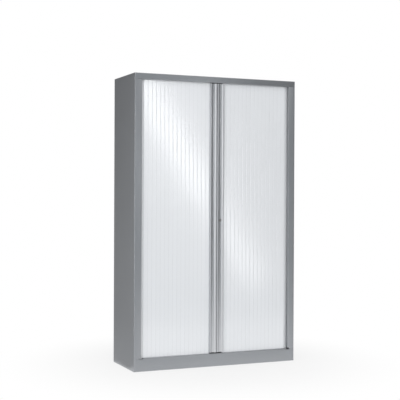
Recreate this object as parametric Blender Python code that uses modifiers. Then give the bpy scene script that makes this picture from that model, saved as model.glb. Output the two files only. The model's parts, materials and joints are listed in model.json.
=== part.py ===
"""A steel office cabinet with two tambour doors, modelled closed and empty.

Each door is a curtain of interlocking plastic slats behind an aluminium handle profile. Its ends run in
plastic tracks behind the front frame, round the front corner, along the side and into the back.
Metres, +Z up, the front faces -Y. The origin is on the floor, under the middle of the cabinet.
"""

import math

import bmesh
import bpy
from mathutils import Vector

# Cabinet and sheet steel
WIDTH = 1.200
DEPTH = 0.430
HEIGHT = 1.980
SHEET = 0.001
FOLD_RADIUS = 0.003  # outside of a fold
SEAT = 0.0003  # left between two pieces that touch
OVERRUN = 0.002  # of a cutter past the piece it cuts

# Front and back frame
JAMB_FACE = 0.050
JAMB_RETURN = 0.018
HEADER_FACE = 0.040
HEADER_LIP = 0.008
PLINTH_FACE = 0.088
LEDGE_LIP = 0.008
LEDGE_CLEARANCE = 0.0022  # between the plinth's ledge and the slats
NOTCH_JAMB = 0.011  # corner notch: into the jamb, into the opening, above and below the plinth's top
NOTCH_OPENING = 0.014
NOTCH_RISE = 0.008
NOTCH_DROP = 0.006
REAR_FLANGE = 0.020
TOP_REAR_FLANGE = 0.025
REAR_PLINTH_FLANGE = 0.014
FOOT_FLANGE = 0.030  # bottom flanges, on which the cabinet stands
BASE_FLANGE = 0.020
RAIL_CLEARANCE = 0.003  # between a base rail and the plinths' foot flanges

# Curtain run, measured to the middle of the slats
SLAT_CLEARANCE = 0.0037  # between the jambs' returns and the slats
SIDE_GAP = 0.020
REAR_GAP = 0.025
TURN_RADIUS = 0.050
TURN_STEPS = 6

# Tracks
TRACK_HEIGHT = 0.016
TRACK_FLOOR = 0.002
TRACK_RIB = 0.002
TRACK_ROOM = 0.0042  # between the plinth's lip and the lower tracks
OUTER_PLAY = 0.0012  # of a slat in the channel, to the outside and to the inside of the turn
INNER_PLAY = 0.0007
STOP_LENGTH = 0.012
STOP_ROOM = 0.010  # between an end stop and the last slat of an open door

# Slats
SLAT_PITCH = 0.030
TAIL_SLATS = 2  # slats past the turn on a closed door
SLAT_SKIN = 0.0012
SLAT_CROWN = 0.0003
BEAD_RADIUS = 0.0014
BEAD_CLEARANCE = 0.0003
SOCKET_WALL = 0.0008
NECK_HALF = 0.0005
LIP_REACH = 0.0020
SLAT_GROOVE = 0.0005  # open joint between two slats at the front
SHOULDER_LENGTH = 0.0015
SLAT_TOP_ROOM = 0.003  # above a slat, in the upper track
FRONT_LIP_ANGLE = math.radians(30)
REAR_LIP_ANGLE = math.radians(-65)
BEAD_SEAT_ANGLE = math.radians(20)  # half of the arc on which a bead bears in its socket
BEAD_STEPS = 4

# Handle profiles
HANDLE_SEAM = 0.0012  # between the two closed doors
HANDLE_WIDTH = 0.0494
HANDLE_INSET = 0.0015  # of the rims behind the front face
HANDLE_WALL = 0.0018
HANDLE_END_GAP = 0.007
HANDLE_TOP_GAP = 0.005
RIM_RADIUS = 0.004
RIM_STEPS = 6
FINGER_DEPTH = 0.009
FINGER_STEPS = 8
SOCKET_BLOCK = 0.0065
SOCKET_MOUTH_HALF = 0.0009
HANDLE_STOP = 0.010  # left between an open handle and the jamb

# Glides in the ends of the handles
GLIDE_ROOM = 0.0032  # between a glide's plug and the socket block
GLIDE_CLEARANCE = 0.001
GLIDE_PLATE = 0.002
GLIDE_PLUG = 0.020

# Lock
LOCK_LEVEL = 1.000
HOUSING_WALL = 0.0017
HOUSING_FRONT = 0.003  # of the housing in front of the groove
HOUSING_CHAMFER = 0.0006
LOCK_STEPS = 20
NUT_RIM = 0.0017
NUT_THICKNESS = 0.0025
BARREL_RADIUS = 0.008
BARREL_CLEARANCE = 0.0003
BARREL_SET_BACK = 0.0004
BARREL_TAIL_RADIUS = 0.0045
BARREL_TAIL = 0.0039
KEYHOLE_WIDTH = 0.0016
KEYHOLE_HEIGHT = 0.0080
KEYHOLE_DEPTH = 0.004
CAM_THICKNESS = 0.0025
CAM_HALF = 0.007
CAM_PLAY = 0.0033  # between the turned hook and the wall of the left handle
BARB_LENGTH = 0.007
BARB_HEIGHT = 0.012
CAM_SLOT_CLEARANCE = 0.001
SCREW_RADIUS = 0.002
SCREW_HEAD_RADIUS = 0.0035
SCREW_HEAD = 0.0014
SCREW_LENGTH = 0.0075

# Inner walls and shelves
LINING_CLEARANCE = 0.0012  # between a lining's rear flange and the inside of the turn
LINING_CORNER_ANGLE = math.radians(40)
LINING_FLANGE = 0.005
LINING_FRONT = 0.0095
FLOOR_SHELF_DROP = 0.002  # below the top of the plinth
FLOOR_SHELF_FRONT = 0.005  # behind the track
FLOOR_SHELF_REAR = 0.006
RACK_WIDTH = 0.025
RACK_DEPTH = 0.010
RACK_INSET = 0.030  # from the lining's front and rear edges to a rack's middle
RACK_SLOT_PITCH = 0.075
RACK_SLOT_WIDTH = 0.008
RACK_SLOT_HEIGHT = 0.012
SHELF_SLOTS = 5  # rack slots from one shelf to the next
SHELF_COUNT = 4
SHELF_END_GAP = 0.0012
SHELF_FRONT_GAP = 0.013  # from the track to a shelf's front
SHELF_REAR_GAP = 0.011
SHELF_FLANGE = 0.025
SHELF_RETURN = 0.010
CLIP_REACH = 0.014
CLIP_WIDTH = 0.015
CLIP_THICKNESS = 0.002
CLIP_DROP = 0.022

# Levellers
CAP_TO_RACK = 0.0143  # from an access cap to the rack beside it
CAP_TO_FLANGE = 0.0162  # from an access cap to the floor shelf's flange
BRACKET_SHEET = 0.002
BRACKET_HEADROOM = 0.0135  # below the base panel
BRACKET_LENGTH = 0.050
BRACKET_LIP = 0.008
BRACKET_OVERHANG = 0.025  # past the leveller's axis
BOSS_RADIUS = 0.009
BOSS_HEIGHT = 0.016
STUD_RADIUS = 0.005
STUD_CLEARANCE = 0.0003
STUD_ABOVE = 0.026  # of the stud above its boss
STUD_SLOT_WIDTH = 0.0016
STUD_SLOT_DEPTH = 0.002
STUD_SINK = 0.003  # of the stud into its pad
COLLAR_FLATS = 0.017
COLLAR_HEIGHT = 0.0018
COLLAR_ROOM = 0.0004
PAD_RADIUS = 0.020
PAD_HEIGHT = 0.008
PAD_RIM = 0.002
PAD_HUB = 0.009
PAD_SHOULDER = 0.003  # of the pad's cone above its rim
PAD_LIFT = 0.0015  # a wound-in pad hangs this far above the floor
ACCESS_RADIUS = 0.0095
CAP_FLANGE = 0.0025
CAP_THICKNESS = 0.001
CAP_PLUG = 0.006
CAP_WALL = 0.0012
ROUND_STEPS = 14

# Places that follow from the sizes
HALF_WIDTH = WIDTH / 2
FRONT = -DEPTH / 2
BACK = DEPTH / 2
INSIDE_X = HALF_WIDTH - SHEET - SEAT  # a piece between the flat walls of the side panels
BETWEEN_FOLDS_X = HALF_WIDTH - FOLD_RADIUS - SEAT  # a piece that reaches into their corners
BACK_SKIN = BACK - SHEET - SEAT  # outer face of what lies inside the rear flanges
JAMB_EDGE = HALF_WIDTH - JAMB_FACE
HEADER_LEVEL = HEIGHT - HEADER_FACE
INSIDE_TOP = HEIGHT - SHEET - SEAT
BASE_LEVEL = PLINTH_FACE - LEDGE_LIP - TRACK_ROOM - TRACK_HEIGHT - SEAT  # top of the base panel
ON_BASE = BASE_LEVEL + SEAT
SOCKET_RADIUS = BEAD_RADIUS + BEAD_CLEARANCE
SLAT_HALF = SOCKET_RADIUS + SOCKET_WALL
SLAT_FACE = JAMB_RETURN + SLAT_CLEARANCE  # behind the front face
LEDGE_DEPTH = SLAT_FACE - LEDGE_CLEARANCE
TURN_SAG = TURN_RADIUS - math.sqrt(TURN_RADIUS**2 - (SLAT_PITCH / 2) ** 2)
CHANNEL_OUTSIDE = SLAT_HALF + SLAT_CROWN + OUTER_PLAY
CHANNEL_INSIDE = SLAT_HALF + TURN_SAG + INNER_PLAY
SHOULDER = LIP_REACH + SLAT_GROOVE
UNDER_SKIN = SLAT_HALF - SLAT_SKIN
FRONT_RUN = FRONT + SLAT_FACE + SLAT_CROWN + SLAT_HALF
REAR_RUN = BACK - REAR_GAP
SIDE_RUN = HALF_WIDTH - SIDE_GAP
TURN_X = SIDE_RUN - TURN_RADIUS
FRONT_TURN_Y = FRONT_RUN + TURN_RADIUS
REAR_TURN_Y = REAR_RUN - TURN_RADIUS
QUARTER = TURN_RADIUS * math.pi / 2
HANDLE_NEAR = HANDLE_SEAM / 2
HANDLE_FAR = HANDLE_NEAR + HANDLE_WIDTH
HANDLE_MIDDLE = (HANDLE_NEAR + HANDLE_FAR) / 2
HANDLE_CREST = FRONT + HANDLE_INSET
HANDLE_BACK = FRONT_RUN + SLAT_HALF
HANDLE_BOTTOM = PLINTH_FACE + HANDLE_END_GAP
HANDLE_TOP = HEADER_LEVEL - HANDLE_TOP_GAP
FINGER_FLOOR = HANDLE_CREST + FINGER_DEPTH
CAVITY_FRONT = FINGER_FLOOR + HANDLE_WALL
CAVITY_BACK = HANDLE_BACK - HANDLE_WALL
GLIDE_HALF = HANDLE_FAR - SOCKET_BLOCK - GLIDE_ROOM - HANDLE_MIDDLE
FIRST_PIVOT = HANDLE_FAR + SEAT - SHOULDER
DOOR_TRAVEL = JAMB_EDGE - HANDLE_STOP - HANDLE_FAR
SLAT_COUNT = math.ceil((TURN_X - FIRST_PIVOT) / SLAT_PITCH) + TAIL_SLATS
CHAIN = SLAT_COUNT * SLAT_PITCH
RUN_TO_REAR = TURN_X - FIRST_PIVOT + 2 * QUARTER + REAR_TURN_Y - FRONT_TURN_Y
STOP_X = TURN_X - (CHAIN + DOOR_TRAVEL + STOP_ROOM - RUN_TO_REAR)
TRACK_END_X = STOP_X - STOP_LENGTH
LOWER_TRACK = (ON_BASE, ON_BASE + TRACK_HEIGHT)
UPPER_TRACK = (INSIDE_TOP - TRACK_HEIGHT, INSIDE_TOP)
SLAT_BOTTOM = LOWER_TRACK[0] + TRACK_FLOOR + SEAT
SLAT_TOP = UPPER_TRACK[1] - TRACK_FLOOR - SLAT_TOP_ROOM
LINING_CORNER = TURN_RADIUS - CHANNEL_INSIDE - TRACK_RIB - LINING_CLEARANCE
LINING_EDGE = TURN_X + LINING_CORNER * math.cos(LINING_CORNER_ANGLE)
LINING_X = LINING_EDGE - LINING_FLANGE
INNER_BACK = REAR_TURN_Y + LINING_CORNER * math.sin(LINING_CORNER_ANGLE)
LINING_FRONT_Y = FRONT_TURN_Y - LINING_FRONT
LINING_REAR_Y = INNER_BACK - SHEET - SEAT
TRACK_BACK = FRONT_RUN + CHANNEL_INSIDE + TRACK_RIB
FLOOR_SHELF_LEVEL = PLINTH_FACE - FLOOR_SHELF_DROP
FLOOR_SHELF_REAR_Y = LINING_REAR_Y - FLOOR_SHELF_REAR
RACK_FACE = LINING_X - SEAT - RACK_DEPTH
SHELF_HALF = RACK_FACE - SHELF_END_GAP
SHELF_STEP = SHELF_SLOTS * RACK_SLOT_PITCH
SHELF_FRONT_Y = TRACK_BACK + SHELF_FRONT_GAP
SHELF_REAR_Y = LINING_REAR_Y - SHELF_REAR_GAP
CAP_RADIUS = ACCESS_RADIUS + CAP_FLANGE
LEVELLER_X = RACK_FACE - CAP_TO_RACK - CAP_RADIUS
LEVELLER_Y = FLOOR_SHELF_REAR_Y - SHEET - CAP_TO_FLANGE - CAP_RADIUS
PAD_TOP = PAD_LIFT + PAD_HEIGHT
BRACKET_LEVEL = PAD_TOP + SEAT + COLLAR_HEIGHT + COLLAR_ROOM
BRACKET_TOP = BASE_LEVEL - SHEET - BRACKET_HEADROOM
BOSS_TOP = BRACKET_LEVEL + BOSS_HEIGHT
STUD_TOP = BOSS_TOP + STUD_ABOVE
HOUSING_BORE = BARREL_RADIUS + BARREL_CLEARANCE
HOUSING_RADIUS = HOUSING_BORE + HOUSING_WALL
NUT_FLATS = 2 * (HOUSING_RADIUS + SEAT + NUT_RIM)
CAM_REACH = HANDLE_MIDDLE + HANDLE_NEAR + HANDLE_WALL + CAM_PLAY + BARB_LENGTH
HOUSING_FACE = FINGER_FLOOR - HOUSING_FRONT
BARREL_FACE = HOUSING_FACE + BARREL_SET_BACK
SCREW_SEAT = CAVITY_BACK - SEAT - SCREW_HEAD
CAM_BACK = SCREW_SEAT - SEAT
CAM_FACE = CAM_BACK - CAM_THICKNESS
TAIL_END = CAM_FACE - SEAT
BARREL_END = TAIL_END - BARREL_TAIL
SCREW_TIP = SCREW_SEAT - SCREW_LENGTH

# Colours, from 0 to 1 as light intensities, with roughness and metallic value
FINISHES = {
    "silver_grey_paint": ((0.26, 0.27, 0.28), 0.42, 0.0),
    "galvanised_steel": ((0.50, 0.51, 0.52), 0.40, 0.9),
    "white_slat": ((0.80, 0.81, 0.82), 0.22, 0.0),
    "track_plastic": ((0.05, 0.05, 0.055), 0.45, 0.0),
    "anodised_aluminium": ((0.60, 0.61, 0.62), 0.30, 1.0),
    "glide_plastic": ((0.03, 0.03, 0.03), 0.40, 0.0),
    "nickel": ((0.66, 0.64, 0.60), 0.20, 1.0),
    "zinc": ((0.45, 0.46, 0.47), 0.35, 1.0),
    "grey_plastic": ((0.22, 0.22, 0.23), 0.50, 0.0),
}

# Turns that lay a drawn section across the X, Y or Z axis
LAY = {
    "X": (math.pi / 2, 0, math.pi / 2),
    "Y": (math.pi / 2, 0, 0),
    "Z": (0, 0, 0),
}


def clear_scene():
    for obj in list(bpy.data.objects):
        bpy.data.objects.remove(obj, do_unlink=True)
    for block in (bpy.data.meshes, bpy.data.curves, bpy.data.materials):
        for item in list(block):
            block.remove(item)


def make_collection(name):
    collection = bpy.data.collections.new(name)
    bpy.context.scene.collection.children.link(collection)
    return collection


def make_material(name):
    colour, roughness, metallic = FINISHES[name]
    material = bpy.data.materials.new(name)
    material.use_nodes = True
    shader = material.node_tree.nodes["Principled BSDF"]
    shader.inputs["Base Color"].default_value = (*colour, 1)
    shader.inputs["Roughness"].default_value = roughness
    shader.inputs["Metallic"].default_value = metallic
    return material


def axis_point(axis, a, b, along):
    """World point of section coordinates a, b at a distance along the axis that the section lies across."""
    return {"X": (along, a, b), "Y": (a, along, b), "Z": (a, b, along)}[axis]


def put(name, data):
    obj = bpy.data.objects.new(name, data)
    PARTS.objects.link(obj)
    return obj


def dress(obj, finish, holder=None):
    """Gives a piece its own copy of a finish, and hangs it on the empty that carries it."""
    material = make_material(finish)
    material.name = obj.name + "_" + finish
    obj.data.materials.clear()
    obj.data.materials.append(material)
    if holder is not None:
        obj.parent = holder
        obj.location -= holder.location
    return obj


def as_cutter(obj):
    PARTS.objects.unlink(obj)
    CUTTERS.objects.link(obj)
    obj.hide_render = True
    obj.display_type = "WIRE"
    return obj


def cut(obj, cutter):
    modifier = obj.modifiers.new("cut", "BOOLEAN")
    modifier.operation = "DIFFERENCE"
    modifier.object = as_cutter(cutter)


def weld(obj, other):
    modifier = obj.modifiers.new("weld", "BOOLEAN")
    modifier.operation = "UNION"
    modifier.object = as_cutter(other)


def box(name, low, high):
    low, high = Vector(low), Vector(high)
    mesh = bpy.data.meshes.new(name)
    shape = bmesh.new()
    bmesh.ops.create_cube(shape, size=1)
    bmesh.ops.scale(shape, vec=high - low, verts=shape.verts)
    shape.to_mesh(mesh)
    shape.free()
    obj = put(name, mesh)
    obj.location = (low + high) / 2
    return obj


def boxes(name, spans):
    """Several boxes in one mesh, for the cutter of a row of slots."""
    mesh = bpy.data.meshes.new(name)
    shape = bmesh.new()
    for low, high in spans:
        low, high = Vector(low), Vector(high)
        made = bmesh.ops.create_cube(shape, size=1)["verts"]
        bmesh.ops.scale(shape, vec=high - low, verts=made)
        bmesh.ops.translate(shape, vec=(low + high) / 2, verts=made)
    shape.to_mesh(mesh)
    shape.free()
    return put(name, mesh)


def rod(name, axis, centre, start, end, radius, steps=ROUND_STEPS):
    """A cylinder along an axis, or with six steps a hexagon bar."""
    mesh = bpy.data.meshes.new(name)
    shape = bmesh.new()
    bmesh.ops.create_cone(
        shape, cap_ends=True, segments=steps, radius1=radius, radius2=radius, depth=abs(end - start)
    )
    shape.to_mesh(mesh)
    shape.free()
    mesh.shade_smooth()
    mesh.set_sharp_from_angle(angle=math.pi / 5)
    obj = put(name, mesh)
    obj.rotation_euler = LAY[axis]
    obj.location = axis_point(axis, *centre, (start + end) / 2)
    return obj


def extrusion(name, axis, outlines, start, end):
    """A closed section, with any holes after its outline, drawn out along an axis into a mesh."""
    curve = bpy.data.curves.new(name, "CURVE")
    curve.dimensions = "2D"
    curve.fill_mode = "BOTH"
    curve.extrude = abs(end - start) / 2
    for outline in outlines:
        spline = curve.splines.new("POLY")
        spline.points.add(len(outline) - 1)
        for point, (a, b) in zip(spline.points, outline):
            point.co = (a, b, 0, 1)
        spline.use_cyclic_u = True
    drawn = put(name + "_section", curve)
    drawn.rotation_euler = LAY[axis]
    drawn.location = axis_point(axis, 0, 0, (start + end) / 2)
    bpy.context.view_layer.update()
    mesh = bpy.data.meshes.new_from_object(drawn.evaluated_get(bpy.context.evaluated_depsgraph_get()))
    shape = bmesh.new()
    shape.from_mesh(mesh)
    bmesh.ops.remove_doubles(shape, verts=shape.verts, dist=SEAT / 10)
    bmesh.ops.recalc_face_normals(shape, faces=shape.faces)
    shape.to_mesh(mesh)
    shape.free()
    obj = put(name, mesh)
    obj.matrix_world = drawn.matrix_world
    bpy.data.objects.remove(drawn)
    return obj


def turned(name, axis, centre, profile, steps=ROUND_STEPS):
    """A turned piece: radius and place along the axis, from the top down its outer side."""
    mesh = bpy.data.meshes.new(name)
    shape = bmesh.new()
    corners = [shape.verts.new((radius, 0, along)) for radius, along in profile]
    for first, second in zip(corners, corners[1:]):
        shape.edges.new((first, second))
    if profile[0][0] > 0:
        shape.edges.new((corners[-1], corners[0]))
    shape.to_mesh(mesh)
    shape.free()
    obj = put(name, mesh)
    screw = obj.modifiers.new("turn", "SCREW")
    screw.steps = steps
    screw.render_steps = steps
    screw.use_merge_vertices = True
    screw.merge_threshold = SEAT / 10
    screw.use_smooth_shade = False
    obj.rotation_euler = LAY[axis]
    obj.location = axis_point(axis, *centre, 0)
    return obj


def sheet(name, axis, path, start, end, thickness=SHEET, fold=FOLD_RADIUS):
    """Folded sheet: the path is its outer skin, and the steel lies on the left of the path."""
    mesh = bpy.data.meshes.new(name)
    shape = bmesh.new()
    skin = folded(path, thickness, fold)
    corners = [shape.verts.new((a, b, 0)) for a, b in skin]
    for first, second in zip(corners, corners[1:]):
        shape.edges.new((first, second))
    length = abs(end - start)
    made = bmesh.ops.extrude_edge_only(shape, edges=shape.edges[:])["geom"]
    moved = [item for item in made if isinstance(item, bmesh.types.BMVert)]
    bmesh.ops.translate(shape, vec=(0, 0, length), verts=moved)
    bmesh.ops.translate(shape, vec=(0, 0, -length / 2), verts=shape.verts)
    shape.normal_update()
    first_edge = Vector((skin[1][0] - skin[0][0], skin[1][1] - skin[0][1], 0))
    outward = first_edge.cross(Vector((0, 0, 1)))
    if corners[0].link_faces[0].normal.dot(outward) < 0:
        bmesh.ops.reverse_faces(shape, faces=shape.faces[:])
    shape.to_mesh(mesh)
    shape.free()
    obj = put(name, mesh)
    obj.rotation_euler = LAY[axis]
    obj.location = axis_point(axis, 0, 0, (start + end) / 2)
    solid = obj.modifiers.new("sheet", "SOLIDIFY")
    solid.thickness = thickness
    solid.offset = -1
    solid.use_even_offset = True
    return obj


def arc(centre, radius, start, end, steps):
    """Points on an arc in the drawing plane, both ends with it."""
    points = []
    for step in range(steps + 1):
        angle = start + (end - start) * step / steps
        points.append((centre[0] + radius * math.cos(angle), centre[1] + radius * math.sin(angle)))
    return points


def folded(path, thickness, fold, steps=3):
    """Replaces the corners of a path by fold arcs, wide outside a fold and narrow inside it."""
    skin = [path[0]]
    for before, corner, after in zip(path, path[1:], path[2:]):
        come = (Vector(corner) - Vector(before)).normalized()
        leave = (Vector(after) - Vector(corner)).normalized()
        turn = come.cross(leave)
        side = 1 if turn > 0 else -1
        radius = fold if turn > 0 else fold - thickness
        half = math.atan2(abs(turn), come.dot(leave)) / 2
        middle = Vector(corner) - come * radius * math.tan(half) + Vector((-come.y, come.x)) * radius * side
        start = math.atan2(-come.x, come.y) if turn > 0 else math.atan2(come.x, -come.y)
        skin += arc(middle, radius, start, start + 2 * half * side, steps)
    return skin + [path[-1]]


def mirrored(path):
    """The same path on the other side of the cabinet, with the steel on its left again."""
    return [(-a, b) for a, b in reversed(path)]


def on_side(side, path):
    """A path that is written for the left side, on the left (-1) or the right (+1)."""
    return path if side < 0 else mirrored(path)


def low_high(side, near, far, *rest):
    """Corners of a box between two distances from the middle, on one side of the cabinet."""
    x = sorted((side * near, side * far))
    return (x[0], rest[0], rest[2]), (x[1], rest[1], rest[3])


def side_panels():
    for side, name in ((-1, "left_side_panel"), (1, "right_side_panel")):
        path = [
            (-HALF_WIDTH + REAR_FLANGE, BACK),
            (-HALF_WIDTH, BACK),
            (-HALF_WIDTH, FRONT),
            (-JAMB_EDGE, FRONT),
            (-JAMB_EDGE, FRONT + JAMB_RETURN),
        ]
        panel = sheet(name, "Z", on_side(side, path), 0, HEIGHT)
        near = JAMB_EDGE - OVERRUN
        far = HALF_WIDTH - FOLD_RADIUS
        over = (FRONT - OVERRUN, FRONT + JAMB_RETURN + OVERRUN)
        head = box(name + "_head_cut", *low_high(side, near, far, *over, HEADER_LEVEL - SEAT, HEIGHT + OVERRUN))
        foot = box(name + "_foot_cut", *low_high(side, near, far, *over, -OVERRUN, PLINTH_FACE + SEAT))
        edge = JAMB_EDGE + NOTCH_JAMB
        notch = low_high(side, near, edge, *over, PLINTH_FACE - OVERRUN, PLINTH_FACE + NOTCH_RISE)
        for cutter in (head, foot, box(name + "_notch_cut", *notch)):
            cut(panel, cutter)
        dress(panel, "silver_grey_paint")


def top_panel():
    path = [
        (BACK_SKIN, HEIGHT - TOP_REAR_FLANGE),
        (BACK_SKIN, HEIGHT),
        (FRONT, HEIGHT),
        (FRONT, HEADER_LEVEL),
        (FRONT + JAMB_RETURN, HEADER_LEVEL),
        (FRONT + JAMB_RETURN, HEADER_LEVEL + HEADER_LIP),
    ]
    panel = sheet("top_panel", "X", path, -INSIDE_X, INSIDE_X)
    levels = (HEADER_LEVEL - OVERRUN, HEIGHT + OVERRUN)
    corner = FOLD_RADIUS + SEAT
    for side, hand in ((-1, "left"), (1, "right")):
        for low, high, end in (
            (FRONT - OVERRUN, FRONT + corner, "front"),
            (BACK - corner, BACK + OVERRUN, "rear"),
        ):
            span = low_high(side, BETWEEN_FOLDS_X, HALF_WIDTH + OVERRUN, low, high, *levels)
            cut(panel, box(f"{hand}_{end}_corner_cut", *span))
        near, far = BETWEEN_FOLDS_X, HALF_WIDTH + OVERRUN
        below = (FRONT - OVERRUN, FRONT + JAMB_RETURN + OVERRUN, HEADER_LEVEL - OVERRUN, HEIGHT - FOLD_RADIUS)
        cut(panel, box(f"{hand}_return_cut", *low_high(side, near, far, *below)))
    dress(panel, "silver_grey_paint")


def back_panel():
    low = (-BETWEEN_FOLDS_X, BACK_SKIN - SHEET, PLINTH_FACE + SEAT)
    high = (BETWEEN_FOLDS_X, BACK_SKIN, HEIGHT - TOP_REAR_FLANGE - SEAT)
    dress(box("back_panel", low, high), "silver_grey_paint")


def front_plinth():
    ledge = FRONT + LEDGE_DEPTH
    path = [
        (ledge, PLINTH_FACE - LEDGE_LIP),
        (ledge, PLINTH_FACE),
        (FRONT, PLINTH_FACE),
        (FRONT, 0),
        (FRONT + FOOT_FLANGE, 0),
    ]
    plinth = sheet("front_plinth", "X", path, -BETWEEN_FOLDS_X, BETWEEN_FOLDS_X)
    near, far = JAMB_EDGE - NOTCH_OPENING, JAMB_EDGE + NOTCH_JAMB
    over = (FRONT - OVERRUN, ledge + OVERRUN, PLINTH_FACE - NOTCH_DROP, PLINTH_FACE + OVERRUN)
    for side, hand in ((-1, "left"), (1, "right")):
        cut(plinth, box(f"{hand}_plinth_notch_cut", *low_high(side, near, far, *over)))
    dress(plinth, "silver_grey_paint")


def rear_plinth():
    path = [
        (BACK_SKIN - FOOT_FLANGE, 0),
        (BACK_SKIN, 0),
        (BACK_SKIN, PLINTH_FACE),
        (BACK_SKIN - REAR_PLINTH_FLANGE, PLINTH_FACE),
    ]
    plinth = sheet("rear_plinth", "X", path, -BETWEEN_FOLDS_X, BETWEEN_FOLDS_X)
    dress(plinth, "silver_grey_paint")


def base_rails():
    top = BASE_LEVEL - SHEET - SEAT
    start = FRONT + FOOT_FLANGE + RAIL_CLEARANCE
    end = BACK_SKIN - FOOT_FLANGE - RAIL_CLEARANCE
    for side, name in ((-1, "left_base_rail"), (1, "right_base_rail")):
        path = [
            (-INSIDE_X + FOOT_FLANGE, top),
            (-INSIDE_X, top),
            (-INSIDE_X, 0),
            (-INSIDE_X + FOOT_FLANGE, 0),
        ]
        dress(sheet(name, "Y", on_side(side, path), start, end), "galvanised_steel")


def base_panel():
    front = FRONT + SHEET + SEAT
    rear = BACK_SKIN - SHEET - SEAT
    path = [
        (rear, BASE_LEVEL - BASE_FLANGE),
        (rear, BASE_LEVEL),
        (front, BASE_LEVEL),
        (front, BASE_LEVEL - BASE_FLANGE),
    ]
    panel = sheet("base_panel", "X", path, -BETWEEN_FOLDS_X, BETWEEN_FOLDS_X)
    for name, x, y in leveller_places():
        span = (BASE_LEVEL - SHEET - OVERRUN, BASE_LEVEL + OVERRUN)
        cut(panel, rod(name + "_base_hole", "Z", (x, y), *span, ACCESS_RADIUS))
    dress(panel, "galvanised_steel")


def run_points(offset, stop_x):
    """Plan of the right-hand curtain run, set over by an offset towards the outside of the cabinet."""
    radius = TURN_RADIUS + offset
    points = [(HANDLE_NEAR, FRONT_RUN - offset)]
    points += arc((TURN_X, FRONT_TURN_Y), radius, -math.pi / 2, 0, TURN_STEPS)
    points += arc((TURN_X, REAR_TURN_Y), radius, 0, math.pi / 2, TURN_STEPS)
    return points + [(stop_x, REAR_RUN + offset)]


def run_strip(side, inside, outside, stop_x):
    strip = run_points(outside, stop_x) + run_points(-inside, stop_x)[::-1]
    return [(side * x, y) for x, y in strip]


def tracks():
    channel = (CHANNEL_INSIDE, CHANNEL_OUTSIDE)
    walls = (CHANNEL_INSIDE + TRACK_RIB, CHANNEL_OUTSIDE + TRACK_RIB)
    for side, hand in ((-1, "left"), (1, "right")):
        for level, (low, high) in (("lower", LOWER_TRACK), ("upper", UPPER_TRACK)):
            name = f"{hand}_{level}_track"
            track = extrusion(name, "Z", [run_strip(side, *walls, TRACK_END_X)], low, high)
            if level == "lower":
                span = (low + TRACK_FLOOR, high + OVERRUN)
            else:
                span = (low - OVERRUN, high - TRACK_FLOOR)
            plan = run_strip(side, *channel, TRACK_END_X - OVERRUN)
            plan = [(x - side * OVERRUN if abs(x) == HANDLE_NEAR else x, y) for x, y in plan]
            cut(track, extrusion(name + "_channel", "Z", [plan], *span))
            dress(track, "track_plastic")
            low_y = REAR_RUN - CHANNEL_INSIDE + SEAT
            high_y = REAR_RUN + CHANNEL_OUTSIDE - SEAT
            stop = (span[0] + SEAT, high) if level == "lower" else (low, span[1] - SEAT)
            corners = low_high(side, TRACK_END_X, STOP_X, low_y, high_y, *stop)
            dress(box(f"{hand}_{level}_end_stop", *corners), "grey_plastic")


def run_place(distance):
    """Point of the right-hand run at a distance from the cabinet's middle along the slats' middle line."""
    straight = distance - TURN_X
    if straight <= 0:
        return Vector((distance, FRONT_RUN))
    if straight <= QUARTER:
        return Vector(arc((TURN_X, FRONT_TURN_Y), TURN_RADIUS, -math.pi / 2 + straight / TURN_RADIUS, 0, 1)[0])
    return Vector((SIDE_RUN, FRONT_TURN_Y + straight - QUARTER))


def pivots():
    """Bead centres of the right-hand curtain: each lies one pitch from the last, on the run."""
    distance = FIRST_PIVOT
    places = [run_place(distance)]
    for _ in range(SLAT_COUNT):
        near, far = distance, distance + 2 * SLAT_PITCH
        for _ in range(60):
            distance = (near + far) / 2
            if (run_place(distance) - places[-1]).length < SLAT_PITCH:
                near = distance
            else:
                far = distance
        places.append(run_place(distance))
    return places


class Slat:
    """Drawing frame of one slat: u runs from its bead to its socket, v towards the visible face."""

    def __init__(self, bead, socket):
        self.bead = bead
        self.socket = socket
        self.along = (socket - bead).normalized()
        self.out = Vector((self.along.y, -self.along.x))
        self.turn = math.atan2(self.along.y, self.along.x)

    def at(self, origin, u, v):
        return tuple(origin + self.along * u + self.out * v)

    def ring(self, origin, radius, start, end, steps):
        """Arc about a pivot, by angles that grow from the slat's length towards its visible face."""
        points = []
        for step in range(steps + 1):
            angle = start + (end - start) * step / steps
            points.append(self.at(origin, radius * math.cos(angle), radius * math.sin(angle)))
        return points


def neck_points(slat, bead_front, bead_rear):
    """From the bead over the neck to the shoulder: the slat's front points and its rear points."""
    front = bead_front + [
        slat.at(slat.bead, SHOULDER, NECK_HALF),
        slat.at(slat.bead, SHOULDER, SLAT_HALF),
    ]
    end = SHOULDER + SHOULDER_LENGTH
    rear = bead_rear + [
        slat.at(slat.bead, SHOULDER, -NECK_HALF),
        slat.at(slat.bead, end, -NECK_HALF),
        slat.at(slat.bead, end, UNDER_SKIN),
    ]
    return front, rear


def socket_points(slat, seat):
    """Lips and bore of the socket: front points, and rear points from the skin round the outside."""
    outer = SLAT_HALF
    join = math.pi - math.asin(UNDER_SKIN / outer)
    bore = SOCKET_RADIUS
    front = [slat.at(slat.socket, LIP_REACH, SLAT_HALF)]
    front += slat.ring(slat.socket, bore, FRONT_LIP_ANGLE, math.pi - seat, BEAD_STEPS)
    rear = slat.ring(slat.socket, outer, join, 2 * math.pi + REAR_LIP_ANGLE, BEAD_STEPS)
    rear += slat.ring(slat.socket, bore, 2 * math.pi + REAR_LIP_ANGLE, math.pi + seat, BEAD_STEPS - 1)
    return front, rear


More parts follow.
